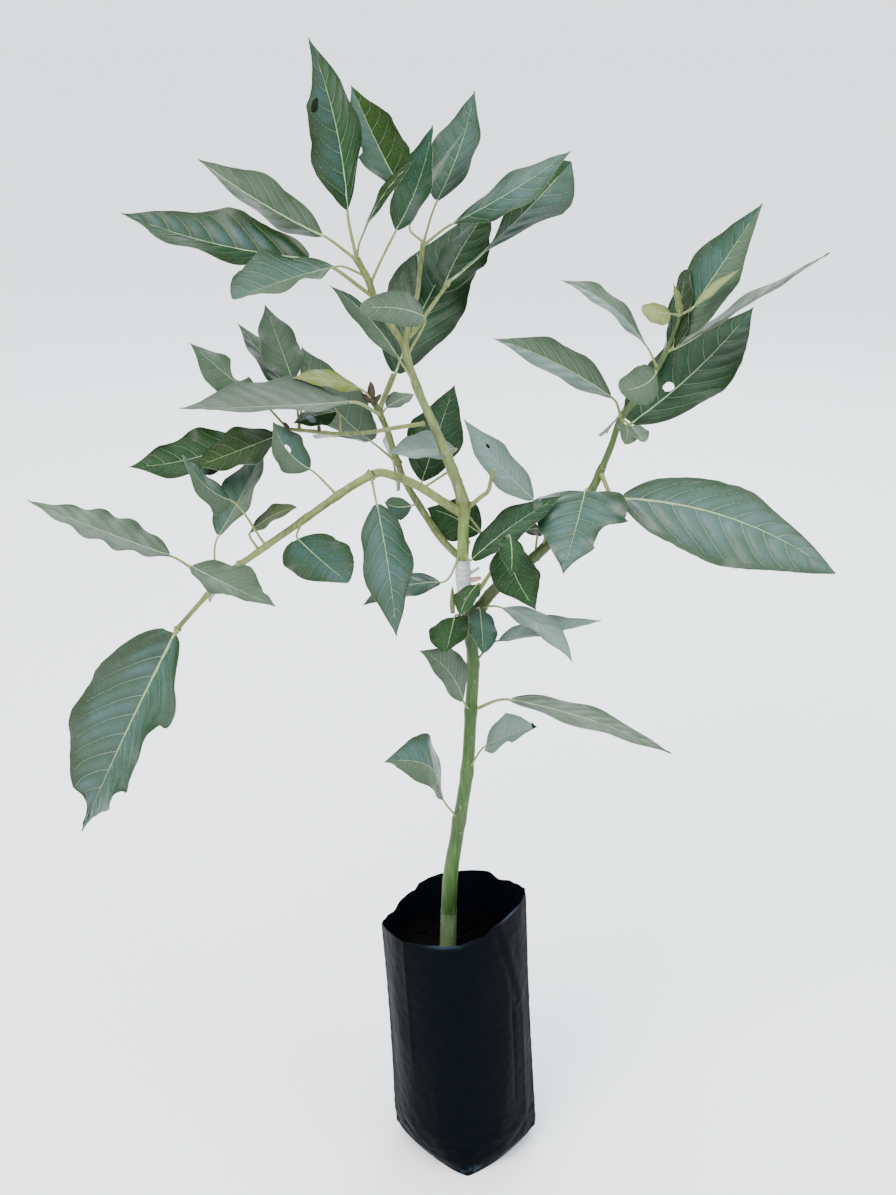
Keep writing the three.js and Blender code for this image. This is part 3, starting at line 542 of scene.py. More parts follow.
def limb_body(shape, name, finish, nodes, flare, speckle=0.0):
    """A limb with the swellings at its nodes, its shallow ribs and its raised specks."""
    line = LIMBS[name]
    length = line.length()
    steps = max(int(length / RING_STEP), 8)
    scars = SCARS.get(name, [])

    def radius_at(place):
        radius = line.width(place) / 2
        radius += flare * bump(place * length, 0.9 * radius)
        near = min((abs(place - node) for node in nodes), default=1)
        radius *= 1 + NODE_SWELL * bump(near * length, NODE_LENGTH)
        if name == "stock":
            radius += RIDGE_HIGH * bump(line.at(place).z - FOOT_TOP, RIDGE_WIDE)
        return radius

    def relief(point, place, turn):
        ribs = RIB * math.sin(5 * turn + 2.5 * rough(point, 60)) + LUMP * rough(point, 9)
        fine = GRAIN * rough(Vector((point.x, point.y, point.z / 5)), 1.3, 3)
        specks = max(rough(point, 3.2, 7) - SPECK_FROM, 0) * SPECK * speckle
        return ribs + fine + specks

    def finish_at(place):
        low = LOW_BARKS.get(name)
        return low[1] if low and line.at(place).z < low[0] else finish

    def shade_at(place):
        return min(sum(deep * bump((place - at) * length, width) for at, width, deep in scars), 1)

    tube(shape, line.at, radius_at, steps, LIMB_AROUND, finish_at, relief, shade_at)


# ---------- leaves ----------

BLADE_THICK = 0.45
THINNER_EDGE = 0.4            # how much of that the margin lacks
BROAD = 48                    # a blade at least this wide gets a finer mesh
ROW_STEP = 1.9                # between the rows of a blade's mesh
FEWEST_ROWS = 18
COLUMNS, BROAD_COLUMNS = 9, 12            # of the mesh, on each half
BLADE_FOOT, BLADE_TIP = 0.012, 0.996      # where the mesh starts and ends along the midrib
CROWDED = 1.12                # how the columns draw together at the midrib
WIDEST = 0.42                 # where a blade is widest, of its length
USUAL_BLADE = 110             # a usual length, for the relief and the veins
FOLD_SOFT = 0.12              # how round the fold is at the midrib, of the half width
QUILT = 0.8                   # how high a usual blade stands up between its side veins
RAGGED, FINE_RAGGED = 0.05, 0.025         # how uneven the margin is, of the half width
EDGE_SHADE, FOOT_SHADE = 0.8, 0.4         # how much painted shade darkens the margin and the foot
FOOT_REACH = 0.16             # how far that goes along the blade

FEWEST_PAIRS = 3.5            # of side veins, and one more for each of these lengths
PAIR_LENGTH = 36
VEIN_RADIUS = 0.27            # a side vein where it leaves the midrib of a usual blade
VEIN_START = 0.07             # the side veins leave the midrib from here
VEIN_END = 0.90               # to here
LAST_VEIN = 0.84              # none leaves it after this
VEIN_LEAN = 0.12              # how far forward a side vein leans, and how far it curves on
VEIN_SWEEP = 0.14
VEIN_REACH = (0.02, 0.88)     # where it starts and ends, of the half width
VEIN_LIFT = 0.16              # how far a side vein stands out of each face
VEIN_STEPS, BROAD_VEIN_STEPS = 10, 18

PETIOLE_THICK = 0.021         # of the blade's length
THINNEST_PETIOLE = 1.7
PETIOLE_SHARE = 0.3           # of the tube that is petiole and midrib in one
PETIOLE_STEP = 2.6            # between its rings
RIB_THICK = 0.80              # of the petiole's radius, at the blade's foot
THINNEST_RIB = 0.35

# The shape of a blade that its row doesn't change.
USUAL = {
    "arch": 0.02, "bow": 0, "fold": 8, "twist": 0, "skew": 0, "lean": 0, "taper": 0.9,
    "drawn": 1.2, "peak": WIDEST, "wave": 0.09, "waves": 2.4, "bands": 0.35,
    "cuts": [], "holes": [], "flecks": [], "left": None, "turned": 0,
}


class Blade:
    """The surface of one leaf's blade, over its place along the midrib and across it."""

    def __init__(self, foot, kind, seed):
        self.foot, self.run, self.width = foot, kind["blade"], kind["width"]
        self.length = self.run.length
        self.along = self.run.normalized()
        self.roll = kind["roll"]
        self.broad = self.width >= BROAD
        for name, value in {**USUAL, **kind["shape"]}.items():
            setattr(self, name, value)
        self.halves = {1: kind["finish"], -1: self.left or kind["finish"]}
        self.fold = math.tan(math.radians(self.fold))
        self.spread = math.log(WIDEST) / math.log(self.peak)
        self.pairs = round(FEWEST_PAIRS + self.length / PAIR_LENGTH)
        self.seed = seed
        draw = seeded(seed * 37 + 11)
        self.phase = {side: 6.28 * draw() for side in (-1, 1)}    # where each ripple starts
        self.face0, self.side0 = self.axes(0.5)

    def axes(self, place):
        """Which ways the blade faces and widens at a place."""
        face = (UP - self.along * UP.dot(self.along)).normalized()
        turn = math.radians(self.roll + self.twist * (place - 0.5))
        face = Matrix.Rotation(turn, 3, self.along) @ face
        return face, self.along.cross(face)

    def outline(self, place, side=0):
        """Half width, of the blade's half width: widest before the middle, with a drawn-out tip."""
        place = min(max(place, 1e-4), 1 - 1e-4) ** (self.spread * (1 + side * self.lean))
        power = self.taper + (self.drawn - self.taper) * place ** 2
        return math.sin(math.pi * place ** 0.8) ** power

    def margin(self, place, side):
        """How much of the outline is left of one side at a place, with its torn edges."""
        left = 1 + RAGGED * noise.noise(Vector((place * 8, side * 3.1, self.seed)))
        left += FINE_RAGGED * noise.noise(Vector((place * 22, side * 5.3, self.seed)))
        for cut_side, middle, breadth, depth in self.cuts:
            if cut_side == side and abs(place - middle) < breadth:
                left -= depth * (1 - ((place - middle) / breadth) ** 2) ** 0.5
        return left

    def midrib(self, place):
        rise = 4 * self.length * place * (1 - place)
        return (self.foot + self.run * place
                + self.face0 * (self.arch * rise) + self.side0 * self.bow * rise)

    def shift(self, place, reach):
        """How far forward of its start a side vein is, at a share of the half width."""
        return self.outline(place) * (VEIN_LEAN * reach + VEIN_SWEEP * reach * reach)

    def start_of(self, number, side):
        """Where a side vein leaves the midrib: those of the two halves stand in turn."""
        step = (VEIN_END - VEIN_START) / self.pairs
        return VEIN_START + step * (number + (0.5 if side > 0 else 0.15))

    def swell(self, place, reach, side):
        """How far the blade has risen between two side veins, from 0 to 1."""
        step = (VEIN_END - VEIN_START) / self.pairs
        phase = (place - self.shift(place, reach) - self.start_of(0, side)) / step
        return math.sin(math.pi * phase) ** 2 * math.sin(math.pi * min(reach, 0.999) ** 0.7) ** 0.6

    def at(self, place, across):
        """A point of the surface: fold, quilted relief and rippled margin in one."""
        side = 1 if across >= 0 else -1
        reach = abs(across)
        half = self.width / 2 * self.outline(place, side) * (1 + side * self.skew)
        out = half * self.margin(place, side) * reach
        face, aside = self.axes(place)
        soft = FOLD_SOFT * half + 0.01
        lift = self.fold * (math.sqrt(out * out + soft * soft) - soft)
        if reach < 1:
            sag = 0.4 * reach ** 0.5
            lift += QUILT * (self.length / USUAL_BLADE) * (self.swell(place, reach, side) - sag)
        ripple = math.sin(2 * math.pi * self.waves * place + self.phase[side])
        lift += self.wave * half * reach ** 2.5 * ripple
        return self.midrib(place) + aside * (side * out) + face * lift


def out_of_holes(blade, place, across):
    """Where a point of the mesh goes so that it leaves a hole, and whether it stood in one."""
    inside = False
    for middle, aside, radius, stretch in blade.holes:
        half = blade.width / 2 * blade.outline(middle)
        away = Vector(((place - middle) * blade.length / stretch, (across - aside) * half))
        if away.length < radius:
            inside = True
            away = away.normalized() * radius if away.length > 0.01 else Vector((radius, 0))
            place = middle + away.x * stretch / blade.length
            across = aside + away.y / half
    return place, across, inside


def blade_body(shape, blade):
    """The blade as a thin closed body: its upper and under faces, and its edge. A turned leaf
    has its finish on the face that points down."""
    along = max(int(blade.length / ROW_STEP), FEWEST_ROWS)
    half_across = BROAD_COLUMNS if blade.broad else COLUMNS
    columns = 2 * half_across + 1
    places = [BLADE_FOOT + (BLADE_TIP - BLADE_FOOT) * i / along for i in range(along + 1)]
    steps = [(k - half_across) / half_across for k in range(columns)]
    acrosses = [math.copysign(abs(step) ** CROWDED, step) for step in steps]
    spots = [[out_of_holes(blade, place, across) for across in acrosses] for place in places]
    grid = [[blade.at(place, across) for place, across, _ in row] for row in spots]
    upper, under = [], []
    for i, row in enumerate(grid):
        for k, point in enumerate(row):
            forward = grid[min(i + 1, along)][k] - grid[max(i - 1, 0)][k]
            aside = row[min(k + 1, columns - 1)] - row[max(k - 1, 0)]
            face = forward.cross(aside)
            face = face.normalized() if face.length > 1e-6 else blade.face0
            if face.dot(blade.axes(places[i])[0]) < 0:
                face = -face
            thick = BLADE_THICK / 2 * (1 - THINNER_EDGE * abs(acrosses[k]))
            upper.append(point + face * thick)
            under.append(point - face * thick)
    top, over, below = [], [], []
    for i in range(along):
        for k in range(columns - 1):
            if all(spots[row][column][2] for row in (i, i + 1) for column in (k, k + 1)):
                continue
            a = i * columns + k
            top.append((a, a + 1, a + columns + 1, a + columns))
            seen = blade.halves[1 if k >= half_across else -1]
            hidden = UNDERSIDES.get(seen, "underside")
            over.append(hidden if blade.turned else seen)
            below.append(seen if blade.turned else hidden)
    bottom, rim = sheet_faces(top, len(upper))
    # Painted shade: darker at the margin, at the foot and in the hollows along the side veins
    shades = []
    for place in places:
        foot = FOOT_SHADE * bump(place, FOOT_REACH)
        for across in acrosses:
            low = 1 - blade.swell(place, abs(across), 1 if across >= 0 else -1)
            shades.append(min(EDGE_SHADE * abs(across) ** 2.5 + foot + blade.bands * low, 1))
    shape.add(upper + under, top + bottom + rim, over + below + ["vein"] * len(rim), shades * 2)


FLECK_AROUND = 14
FLECK_RINGS = [(0.0, 0.34), (0.55, 0.34), (1.0, 0.27), (1.0, 0.0)]     # how far out, how high


def fleck_bodies(shape, blade):
    """Spots on the blade, each a thin uneven scab on its upper face."""
    around = FLECK_AROUND
    for place, across, radius, finish in blade.flecks:
        half = blade.width / 2 * blade.outline(place)
        points = []
        for share, height in FLECK_RINGS:
            for k in range(around if share else 1):
                turn = 2 * math.pi * k / around
                reach = radius * share * (1 + 0.25 * math.sin(2 * turn + place * 40))
                spot = place + reach * math.cos(turn) / blade.length
                at = blade.at(spot, across + reach * math.sin(turn) / half)
                points.append(at + blade.axes(place)[0] * height)
        faces = fan_faces(0, 1, around) + ring_faces(3, around, 1, True)
        shape.add(points, faces + [tuple(range(3 * around, 2 * around, -1))], finish)


def vein_bodies(shape, blade, finish):
    """The side veins, each a fine ridge on both faces of the blade."""
    stout = VEIN_RADIUS * min(blade.length / USUAL_BLADE, 1.7) ** 0.7
    steps = BROAD_VEIN_STEPS if blade.broad else VEIN_STEPS
    for side in (-1, 1):
        for number in range(blade.pairs):
            start = blade.start_of(number, side)
            if start > LAST_VEIN:
                continue
            for over in (-1, 1):

                def point_at(share, start=start, side=side, over=over):
                    reach = VEIN_REACH[0] + (VEIN_REACH[1] - VEIN_REACH[0]) * share
                    place = start
                    for _ in range(3):
                        place = start + blade.shift(place, reach)
                    lift = blade.face0 * (over * VEIN_LIFT)
                    return blade.at(min(place, 0.985), side * reach) + lift

                tube(shape, point_at, lambda share: stout * (1 - 0.6 * share), steps, 4, finish)


def petiole_body(shape, limb, kind, blade, finish):
    """The petiole from the limb's axis, which runs on as the blade's midrib to its tip."""
    root = LIMBS[limb].at(kind["place"])
    foot = blade.foot
    reach = (foot - root).length
    onward = (blade.midrib(0.12) - foot).normalized()
    leave = root + (foot - root) * 0.35
    arrive = foot - onward * 0.3 * reach
    thick = max(PETIOLE_THICK * blade.length, THINNEST_PETIOLE) / 2
    swell = 3 + 1.7 / max(reach, 1)

    def point_at(place):
        t = place / PETIOLE_SHARE
        if t < 1:
            u = 1 - t
            return root * u ** 3 + leave * 3 * u * u * t + arrive * 3 * u * t * t + foot * t ** 3
        s = (place - PETIOLE_SHARE) / (1 - PETIOLE_SHARE) * 0.97
        return blade.at(s, 0) - blade.face0 * 0.25 * radius_at(place) * min(s * 20, 1)

    def radius_at(place):
        t = place / PETIOLE_SHARE
        if t < 1:
            return thick * (1.12 - 0.3 * t) + 0.5 * thick * bump(t * reach, swell)
        s = 1 - (place - PETIOLE_SHARE) / (1 - PETIOLE_SHARE)
        stout = THINNEST_RIB + (RIB_THICK * thick - THINNEST_RIB) * s ** 1.5
        return stout * min(0.35 + 6 * s, 1)

    def finish_at(place):
        return finish if place < PETIOLE_SHARE else "midrib"

    steps = max(int((reach + blade.length) / PETIOLE_STEP), 16)
    tube(shape, point_at, radius_at, steps, 8, finish_at)


# ---------- finishes ----------

def tint(code):
    """A colour from its six-digit code, as the shaders take it."""
    parts = [int(code[i:i + 2], 16) / 255 for i in (0, 2, 4)]
    parts = [c / 12.92 if c <= 0.04045 else ((c + 0.055) / 1.055) ** 2.4 for c in parts]
    return (*parts, 1.0)


def worked(operation, flipped=False):
    """An operator for values. A flipped one has its two numbers the other way round."""
    def work(self, other):
        first, second = (other, self) if flipped else (self, other)
        return self.tree.node("ShaderNodeMath", {"operation": operation}, {0: first, 1: second})
    return work


class Value:
    """One socket's number in a node tree, for sums."""

    def __init__(self, tree, socket):
        self.tree = tree
        self.socket = socket

    __add__ = worked("ADD")
    __radd__ = worked("ADD", True)
    __sub__ = worked("SUBTRACT")
    __rsub__ = worked("SUBTRACT", True)
    __mul__ = worked("MULTIPLY")
    __rmul__ = worked("MULTIPLY", True)


class Nodes:
    """The node tree of a material or of the world."""

    def __init__(self, tree):
        self.nodes = tree.nodes
        self.links = tree.links

    def put(self, node, socket, value):
        """Gives a node's socket its number or colour, or the link of a value."""
        if isinstance(value, Value):
            self.links.new(value.socket, node.inputs[socket])
        else:
            node.inputs[socket].default_value = value

    def node(self, kind, settings, values, output=0):
        """Adds one node: its settings first, then the numbers or links of its sockets."""
        made = self.nodes.new(kind)
        for name, value in settings.items():
            if name == "stops":
                for _ in value[2:]:
                    made.color_ramp.elements.new(0.5)
                for stop, (at, colour) in zip(made.color_ramp.elements, value):
                    stop.position = at
                    stop.color = colour
            else:
                setattr(made, name, value)
        for socket, value in values.items():
            self.put(made, socket, value)
        return Value(self, made.outputs[output])


class Finish(Nodes):
    """A procedural material, whose noise has its size in millimetres."""

    def __init__(self, name, **constants):
        self.material = bpy.data.materials.new(name)
        self.material.use_nodes = True
        super().__init__(self.material.node_tree)
        self.nodes.clear()
        self.shader = self.nodes.new("ShaderNodeBsdfPrincipled")
        out = self.nodes.new("ShaderNodeOutputMaterial")
        self.links.new(self.shader.outputs["BSDF"], out.inputs["Surface"])
        for socket, value in constants.items():
            self.set(socket.replace("_", " "), value)
        self.place = self.node("ShaderNodeTexCoord", {}, {}, "Object")

    def set(self, socket, value):
        self.put(self.shader, socket, value)

    def shade(self):
        """What the mesh gives as each point's shade."""
        return self.node("ShaderNodeAttribute", {"attribute_name": SHADE}, {}, "Fac")

    def noise(self, size, detail=3.0, stretch=(1, 1, 1)):
        """Noise from 0 to 1 with features of about this many millimetres."""
        scale = tuple(1 / (size * MM * s) for s in stretch)
        place = self.node("ShaderNodeVectorMath", {"operation": "MULTIPLY"},
                          {0: self.place, 1: scale})
        return self.node("ShaderNodeTexNoise", {}, {"Vector": place, "Scale": 1.0,
                                                    "Detail": detail})

    def cells(self, size):
        """Distance from the edges of small cells of about this many millimetres."""
        return self.node("ShaderNodeTexVoronoi", {"feature": "DISTANCE_TO_EDGE"},
                         {"Vector": self.place, "Scale": 1 / (size * MM)}, "Distance")

    def mask(self, value, low, high):
        """0 under the low end of a value, 1 over its high end."""
        return self.node("ShaderNodeMapRange", {"clamp": True},
                         {"Value": value, "From Min": low, "From Max": high})

    def mix(self, share, first, second):
        """A colour between two, each a six-digit code or a value."""
        first, second = (tint(c) if isinstance(c, str) else c for c in (first, second))
        return self.node("ShaderNodeMix", {"data_type": "RGBA"},
                         {"Factor": share, 6: first, 7: second}, 2)

    def relief(self, height, depth, strength=1.0):
        """Sets the normal from a height, with this depth in millimetres."""
        self.set("Normal", self.node("ShaderNodeBump", {}, {
            "Strength": strength, "Distance": depth * MM, "Height": height}, "Normal"))


FINE_VEIN = "b9c58a"
BROWNED = "463a20"
PAINTED_FILM_HIGHLIGHT = "3c4c5c"


def blade_finish(name, main, light, dark, rough_low, rough_high, specular):
    """A leaf's face: mottled, with painted sheen in soft patches, painted shade at its margin, its
    foot and along its side veins, and a net of fine veins.
    """
    finish = Finish(name, Specular_IOR_Level=specular)
    # Mottling that also paints the sky's sheen: where this noise is high the colour goes to the
    # lighter tint
    mottling_and_sheen = finish.mask(finish.noise(28, 2.0), 0.42, 0.70)
    blotches = finish.mask(finish.noise(11, 2.0), 0.40, 0.74)
    shade = finish.shade()
    net = finish.mask(finish.cells(1.7), 0.0, 0.12)
    colour = finish.mix(mottling_and_sheen * 0.8, main, light)
    # Painted shade: the mesh's shade darkens the margin, the foot and the vein hollows; random
    # blotches add darker tone
    colour = finish.mix(finish.mask(shade + 0.22 * blotches, 0.10, 1.10), colour, dark)
    colour = finish.mix((1 - net) * 0.045, colour, FINE_VEIN)
    finish.set("Base Color", colour)
    finish.set("Roughness", rough_low + (rough_high - rough_low) * blotches)
    finish.relief(net * 0.6 + finish.noise(2.6, 3.0), 0.12, 0.5)
    return finish.material


def bark_finish(name, main, light, dark, speck):
    """Green bark, with long pale streaks, darker patches and small raised specks."""
    finish = Finish(name, Specular_IOR_Level=0.45)
    shade = finish.shade()
    streaks = finish.noise(2.2, 3.0, (1, 1, 9))
    patches = finish.noise(15, 3.0, (1, 1, 2.5))
    grain = finish.noise(0.9, 2.0, (1, 1, 3))
    specks = finish.mask(finish.noise(3.0, 1.0, (1, 1, 1.5)), 0.70, 0.76)
    scarred = finish.mask(patches + 0.5 * streaks, 0.45, 0.85)
    colour = finish.mix(finish.mask(patches, 0.40, 0.68), main, dark)
    colour = finish.mix(finish.mask(streaks, 0.46, 0.72) * 0.75, colour, light)
    colour = finish.mix(shade * scarred, colour, BROWNED)
    finish.set("Base Color", finish.mix(specks * 0.8, colour, speck))
    finish.set("Roughness", 0.5 + 0.18 * streaks)
    finish.relief(streaks + grain * 0.6 + specks, 0.12, 0.7)
    return finish.material


def polythene_finish(name, film, dust, rough_low, rough_high, specular):
    """Black film: a cool painted sheen where the mesh's shade lightens it, scuffed dull in patches,
    with fine drawn lines and dust.
    """
    finish = Finish(name, Specular_IOR_Level=specular)
    scuffs = finish.mask(finish.noise(18, 5.0, (1, 1, 2.2)), 0.3, 0.7)
    drawn = finish.noise(1.4, 2.0, (1, 1, 30))
    dusty = finish.mask(finish.noise(5, 5.0), 0.56, 0.80)
    colour = finish.mix(dusty * 0.35, film, dust)
    # Painted highlights: the mesh's shade lightens the film towards a cool grey-blue
    finish.set("Base Color", finish.mix(finish.shade(), colour, PAINTED_FILM_HIGHLIGHT))
    finish.set("Roughness", rough_low + (rough_high - rough_low) * scuffs + 0.08 * dusty)
    finish.relief(finish.noise(7, 4.0) + drawn * 0.25, 0.5, 0.5)
    return finish.material


def soil_finish(name, main, light, fibres):
    """Dark moist potting soil, crumbly, with scattered brown fibre."""
    finish = Finish(name, Specular_IOR_Level=0.03)
    crumbs = finish.noise(2.4, 6.0)
    fibre = finish.mask(finish.noise(1.1, 2.0, (4, 1, 1)), 0.62, 0.72)
    finish.set("Base Color", finish.mix(fibre * 0.5, finish.mix(crumbs, main, light), fibres))
    finish.set("Roughness", 0.80 + 0.15 * crumbs)
    finish.relief(crumbs, 1.2, 1.0)
    return finish.material


def tape_finish(name, main, shade):
    """Grafting tape: a soft white film, greyer where it is stretched over edges."""
    finish = Finish(name, Specular_IOR_Level=0.5)
    stretched = finish.noise(3.5, 4.0, (3, 3, 0.5))
    finish.set("Base Color", finish.mix(finish.mask(stretched, 0.40, 0.72), main, shade))
    finish.set("Roughness", 0.30 + 0.25 * stretched)
    finish.relief(stretched + finish.noise(1.0, 2.0, (3, 3, 1)) * 0.5, 0.25, 0.8)
    return finish.material


def plain_tissue(name, main, light, rough=0.5, specular=0.4):
    """Petioles, veins, buds and other small parts: two tones in short soft streaks."""
    finish = Finish(name, Specular_IOR_Level=specular)
    streaks = finish.noise(2.0, 3.0)
    finish.set("Base Color", finish.mix(finish.mask(streaks, 0.35, 0.68), main, light))
    finish.set("Roughness", rough + 0.1 * streaks)
    finish.relief(finish.noise(0.8, 2.0), 0.06, 0.6)
    return finish.material


# Leaves: main colour; a lighter colour, which is painted sheen; a darker colour, which is painted
# shade and blotches; least and most roughness, and specular level. The teal, deep_teal, teal_light
# and silver finishes paint the sky's bluish reflection into their colours.
LEAF_FINISHES = {
    "deep": ("163419", "1f4128", "0b2008", 0.26, 0.38, 0.10),
    "dusk": ("1c3724", "284634", "0f2511", 0.30, 0.42, 0.16),
    "green": ("234124", "2d4c30", "142c12", 0.28, 0.40, 0.14),
    "deep_teal": ("1d3a2c", "2c4b4c", "11290d", 0.26, 0.36, 0.20),
    "teal": ("29463a", "385656", "162d17", 0.26, 0.36, 0.30),
    "teal_light": ("304d42", "425f60", "1a331f", 0.28, 0.38, 0.36),
    "grey": ("3f5240", "4b5c4d", "324331", 0.38, 0.52, 0.26),
    "silver": ("5a6f6a", "6b8185", "465b4e", 0.38, 0.52, 0.34),
    "pale": ("48554a", "545f55", "3b493e", 0.50, 0.62, 0.26),
    "vivid": ("152f05", "1e3b0a", "0e2203", 0.34, 0.46, 0.08),
    "olive": ("6c782e", "7a863a", "56621f", 0.42, 0.56, 0.22),
    "sage": ("3c472a", "465133", "2f3a1f", 0.42, 0.56, 0.22),
    "olive_dark": ("1a2d15", "23371b", "11210d", 0.34, 0.48, 0.14),
    "young": ("76804f", "879060", "616b3c", 0.42, 0.58, 0.25),
    "underside": ("435046", "4e5a51", "364433", 0.52, 0.66, 0.20),
}
# Small parts of a leaf: two colours, and a roughness and a specular level where they are given.
TISSUES = {
    "spot": ("0c120b", "1a2216", 0.8, 0.05), "dry": ("3f2a18", "5e452c", 0.65),
    "vein": ("4c6746", "597653"), "soft_vein": ("617966", "6e8673"),
    "light_vein": ("7c8f83", "899b90"), "pale_vein": ("606b58", "6c7664"),
    "midrib": ("7b9064", "90a57b", 0.42),
}

FINISHES = {
    **{name: blade_finish("leaf_" + name, *row) for name, row in LEAF_FINISHES.items()},
    **{name: plain_tissue("leaf_" + name, *row) for name, row in TISSUES.items()},
    "petiole": plain_tissue("petiole", "68713b", "7d8550", 0.42),
    "petiole_pale": plain_tissue("petiole_pale", "788052", "8b9266", 0.42),
    "stock": bark_finish("bark_stock", "2b4b11", "456526", "1d3a09", "6f795c"),
    "stock_foot": bark_finish("bark_stock_foot", "51643f", "677856", "3f5330", "7c866f"),
    "right_bark": bark_finish("bark_right_bough", "36491a", "4e6228", "293d12", "6a7648"),
    "scion": bark_finish("bark_scion", "5d7230", "7c8c4a", "465a22", "8a9468"),
    "leader": bark_finish("bark_leader", "636e3d", "7a8554", "48552a", "919679"),
    "young_bark": bark_finish("bark_young", "656d36", "7c834f", "495123", "888c6a"),
    "back_bark": bark_finish("bark_back_bough", "56612f", "717a4a", "3f4a1e", "81846a"),
    "bud": plain_tissue("bud", "2c2414", "463822", 0.6),
    "film": polythene_finish("polythene_outside", "03060a", "090e14", 0.42, 0.55, 0.02),
    "film_inside": polythene_finish("polythene_inside", "05080e", "0b1018", 0.5, 0.6, 0.03),
    "soil": soil_finish("potting_soil", "010202", "050506", "0b0907"),
    "tape": tape_finish("grafting_tape", "b4b8b6", "8b908f"),
    "wax": tape_finish("grafting_tape_torn", "a88478", "866658"),
}

# A leaf's other face, where that isn't the usual one.
UNDERSIDES = {"pale": "grey", "young": "young"}
VEINS = {"pale": "pale_vein", "young": "pale_vein", "olive": "pale_vein", "grey": "soft_vein",
         "silver": "light_vein", "teal": "soft_vein", "teal_light": "soft_vein"}
PALE_KINDS = ("pale", "young", "olive")


# ---------- the bag and its soil ----------

BAG_AROUND = 288
BAG_UP = 150                  # rings of the outer wall
INNER_UP = 60                 # rings of the inner wall, from a little under the soil
UNDER_SOIL = 6
WALL = 57                     # about where the film stands, for its lumps
FOOT_ROUND = 12               # the folds grow from the foot up to here
SLANT_FROM, SLANT = 205, 0.29             # a crease that runs aslant below the rim


def between(rows, at):
    """The number at a place in a row of (place, number) pairs, eased between them."""
    for (low, first), (high, second) in zip(rows, rows[1:]):
        if at <= high:
            share = max((at - low) / (high - low), 0)
            return first + (second - first) * share * share * (3 - 2 * share)
    return rows[-1][1]


def bag_section(height):
    """The bag's half sizes and its squareness at a height."""
    for low, high in zip(BAG_SECTIONS, BAG_SECTIONS[1:]):
        if height <= high[0]:
            share = (height - low[0]) / (high[0] - low[0])
            return [a + (b - a) * share for a, b in zip(low[1:], high[1:])]
    return list(BAG_SECTIONS[-1][1:])


def turn_from(turn, centre):
    """Degrees from one turn to another, the short way round."""
    return (turn - centre + 180) % 360 - 180


# Creases down the film: degrees round, how wide, how far out, and from which height to which.
CREASES = [
    (185, 5, 1.9, -20, 400), (-12, 5, 1.9, -20, 400), (-134, 2.2, 0.9, 95, 400),
    (-85, 2.5, 0.7, 110, 400), (-41, 2.0, -1.1, 60, 165), (-28, 2.6, 0.9, 30, 150),
    (-113, 3.0, 0.6, 20, 90), (60, 2.4, 0.9, 80, 400), (128, 2.2, -1.0, 120, 400),
    (98, 3.0, 0.7, 20, 130),
]


def bag_relief(turn, height):
    """How far the film stands out from its plain section: folds, creases and lumps of soil."""
    out = 0
    for centre, width, lift, low, high in CREASES:
        ends = 1 / (1 + math.exp((low - height) / 6)) / (1 + math.exp((height - high) / 6))
        out += lift * ends * math.exp(-abs(turn_from(turn, centre)) / width)
    slant = -50 + (SLANT_FROM - height) * SLANT
    if height > 150:
        out -= 0.7 * bump(turn_from(turn, slant), 3.0)
        out += 0.5 * bump(turn_from(turn, slant + 7), 4)
    a = math.radians(turn)
    wall = Vector((WALL * math.cos(a), WALL * math.sin(a), height))
    lumps = noise.noise(Vector((wall.x / 26, wall.y / 26, height / 85)))
    ridges = 1 - 2 * abs(noise.noise(Vector((wall.x / 17, wall.y / 17, height / 11))))
    waves = noise.noise(Vector((wall.x / 13, wall.y / 13, height / 30 + 5)))
    out += 1.1 * lumps + 0.9 * bump(height - 18, 26) * ridges
    out += 0.7 * bump(height - 222, 26) * waves
    return out + 0.28 * noise.noise(wall / 7)


def shift_at(height):
    """How far along X the bag's axis has moved at a height."""
    return BAG_SHIFT * height / RIM_MEAN


def bag_point(turn, height, inset):
    """A point of the film, or of a wall that stands in from it."""
    half_x, half_y, power = bag_section(height)
    a = math.radians(turn)
    across = abs(math.cos(a) / half_x) ** power
    deep = abs(math.sin(a) / half_y) ** power
    radius = (across + deep) ** (-1 / power) - inset
    radius += bag_relief(turn, height) * (0.3 + 0.7 * min(height / FOOT_ROUND, 1))
    return Vector((shift_at(height) + radius * math.cos(a), radius * math.sin(a), height))


def painted_film_highlight(turn, height):
    """Painted highlights on the film: at the front and right of the rim, and on the fold of its
    foot.
    """
    below = rim_at(turn) - height
    front = 0.45 * bump(turn_from(turn, -98), 12) * bump(below - 0.5, 1.7)
    right = 0.55 * bump(turn_from(turn, -38), 11) * bump(below, 1.5)
    a = math.radians(turn)
    wall = Vector((math.cos(a), math.sin(a), 0))
    ridges = max(1 - 3.5 * abs(noise.noise(wall * 9 + UP * height / 5)), 0)
    foot = 0.5 * bump(turn_from(turn, -85), 14) * bump(height - 4, 4) * ridges
    return min(front + right + foot, 1)


def rim_at(turn):
    return between(RIM, turn % 360)


def bag_rings(low, count, inset):
    """Rings of points from a height up to the rim, which every column ends at."""
    columns = []
    for k in range(BAG_AROUND):
        turn = 360 * k / BAG_AROUND
        rise = rim_at(turn) - low
        columns.append([bag_point(turn, low + rise * i / count, inset) for i in range(count + 1)])
    return list(zip(*columns))


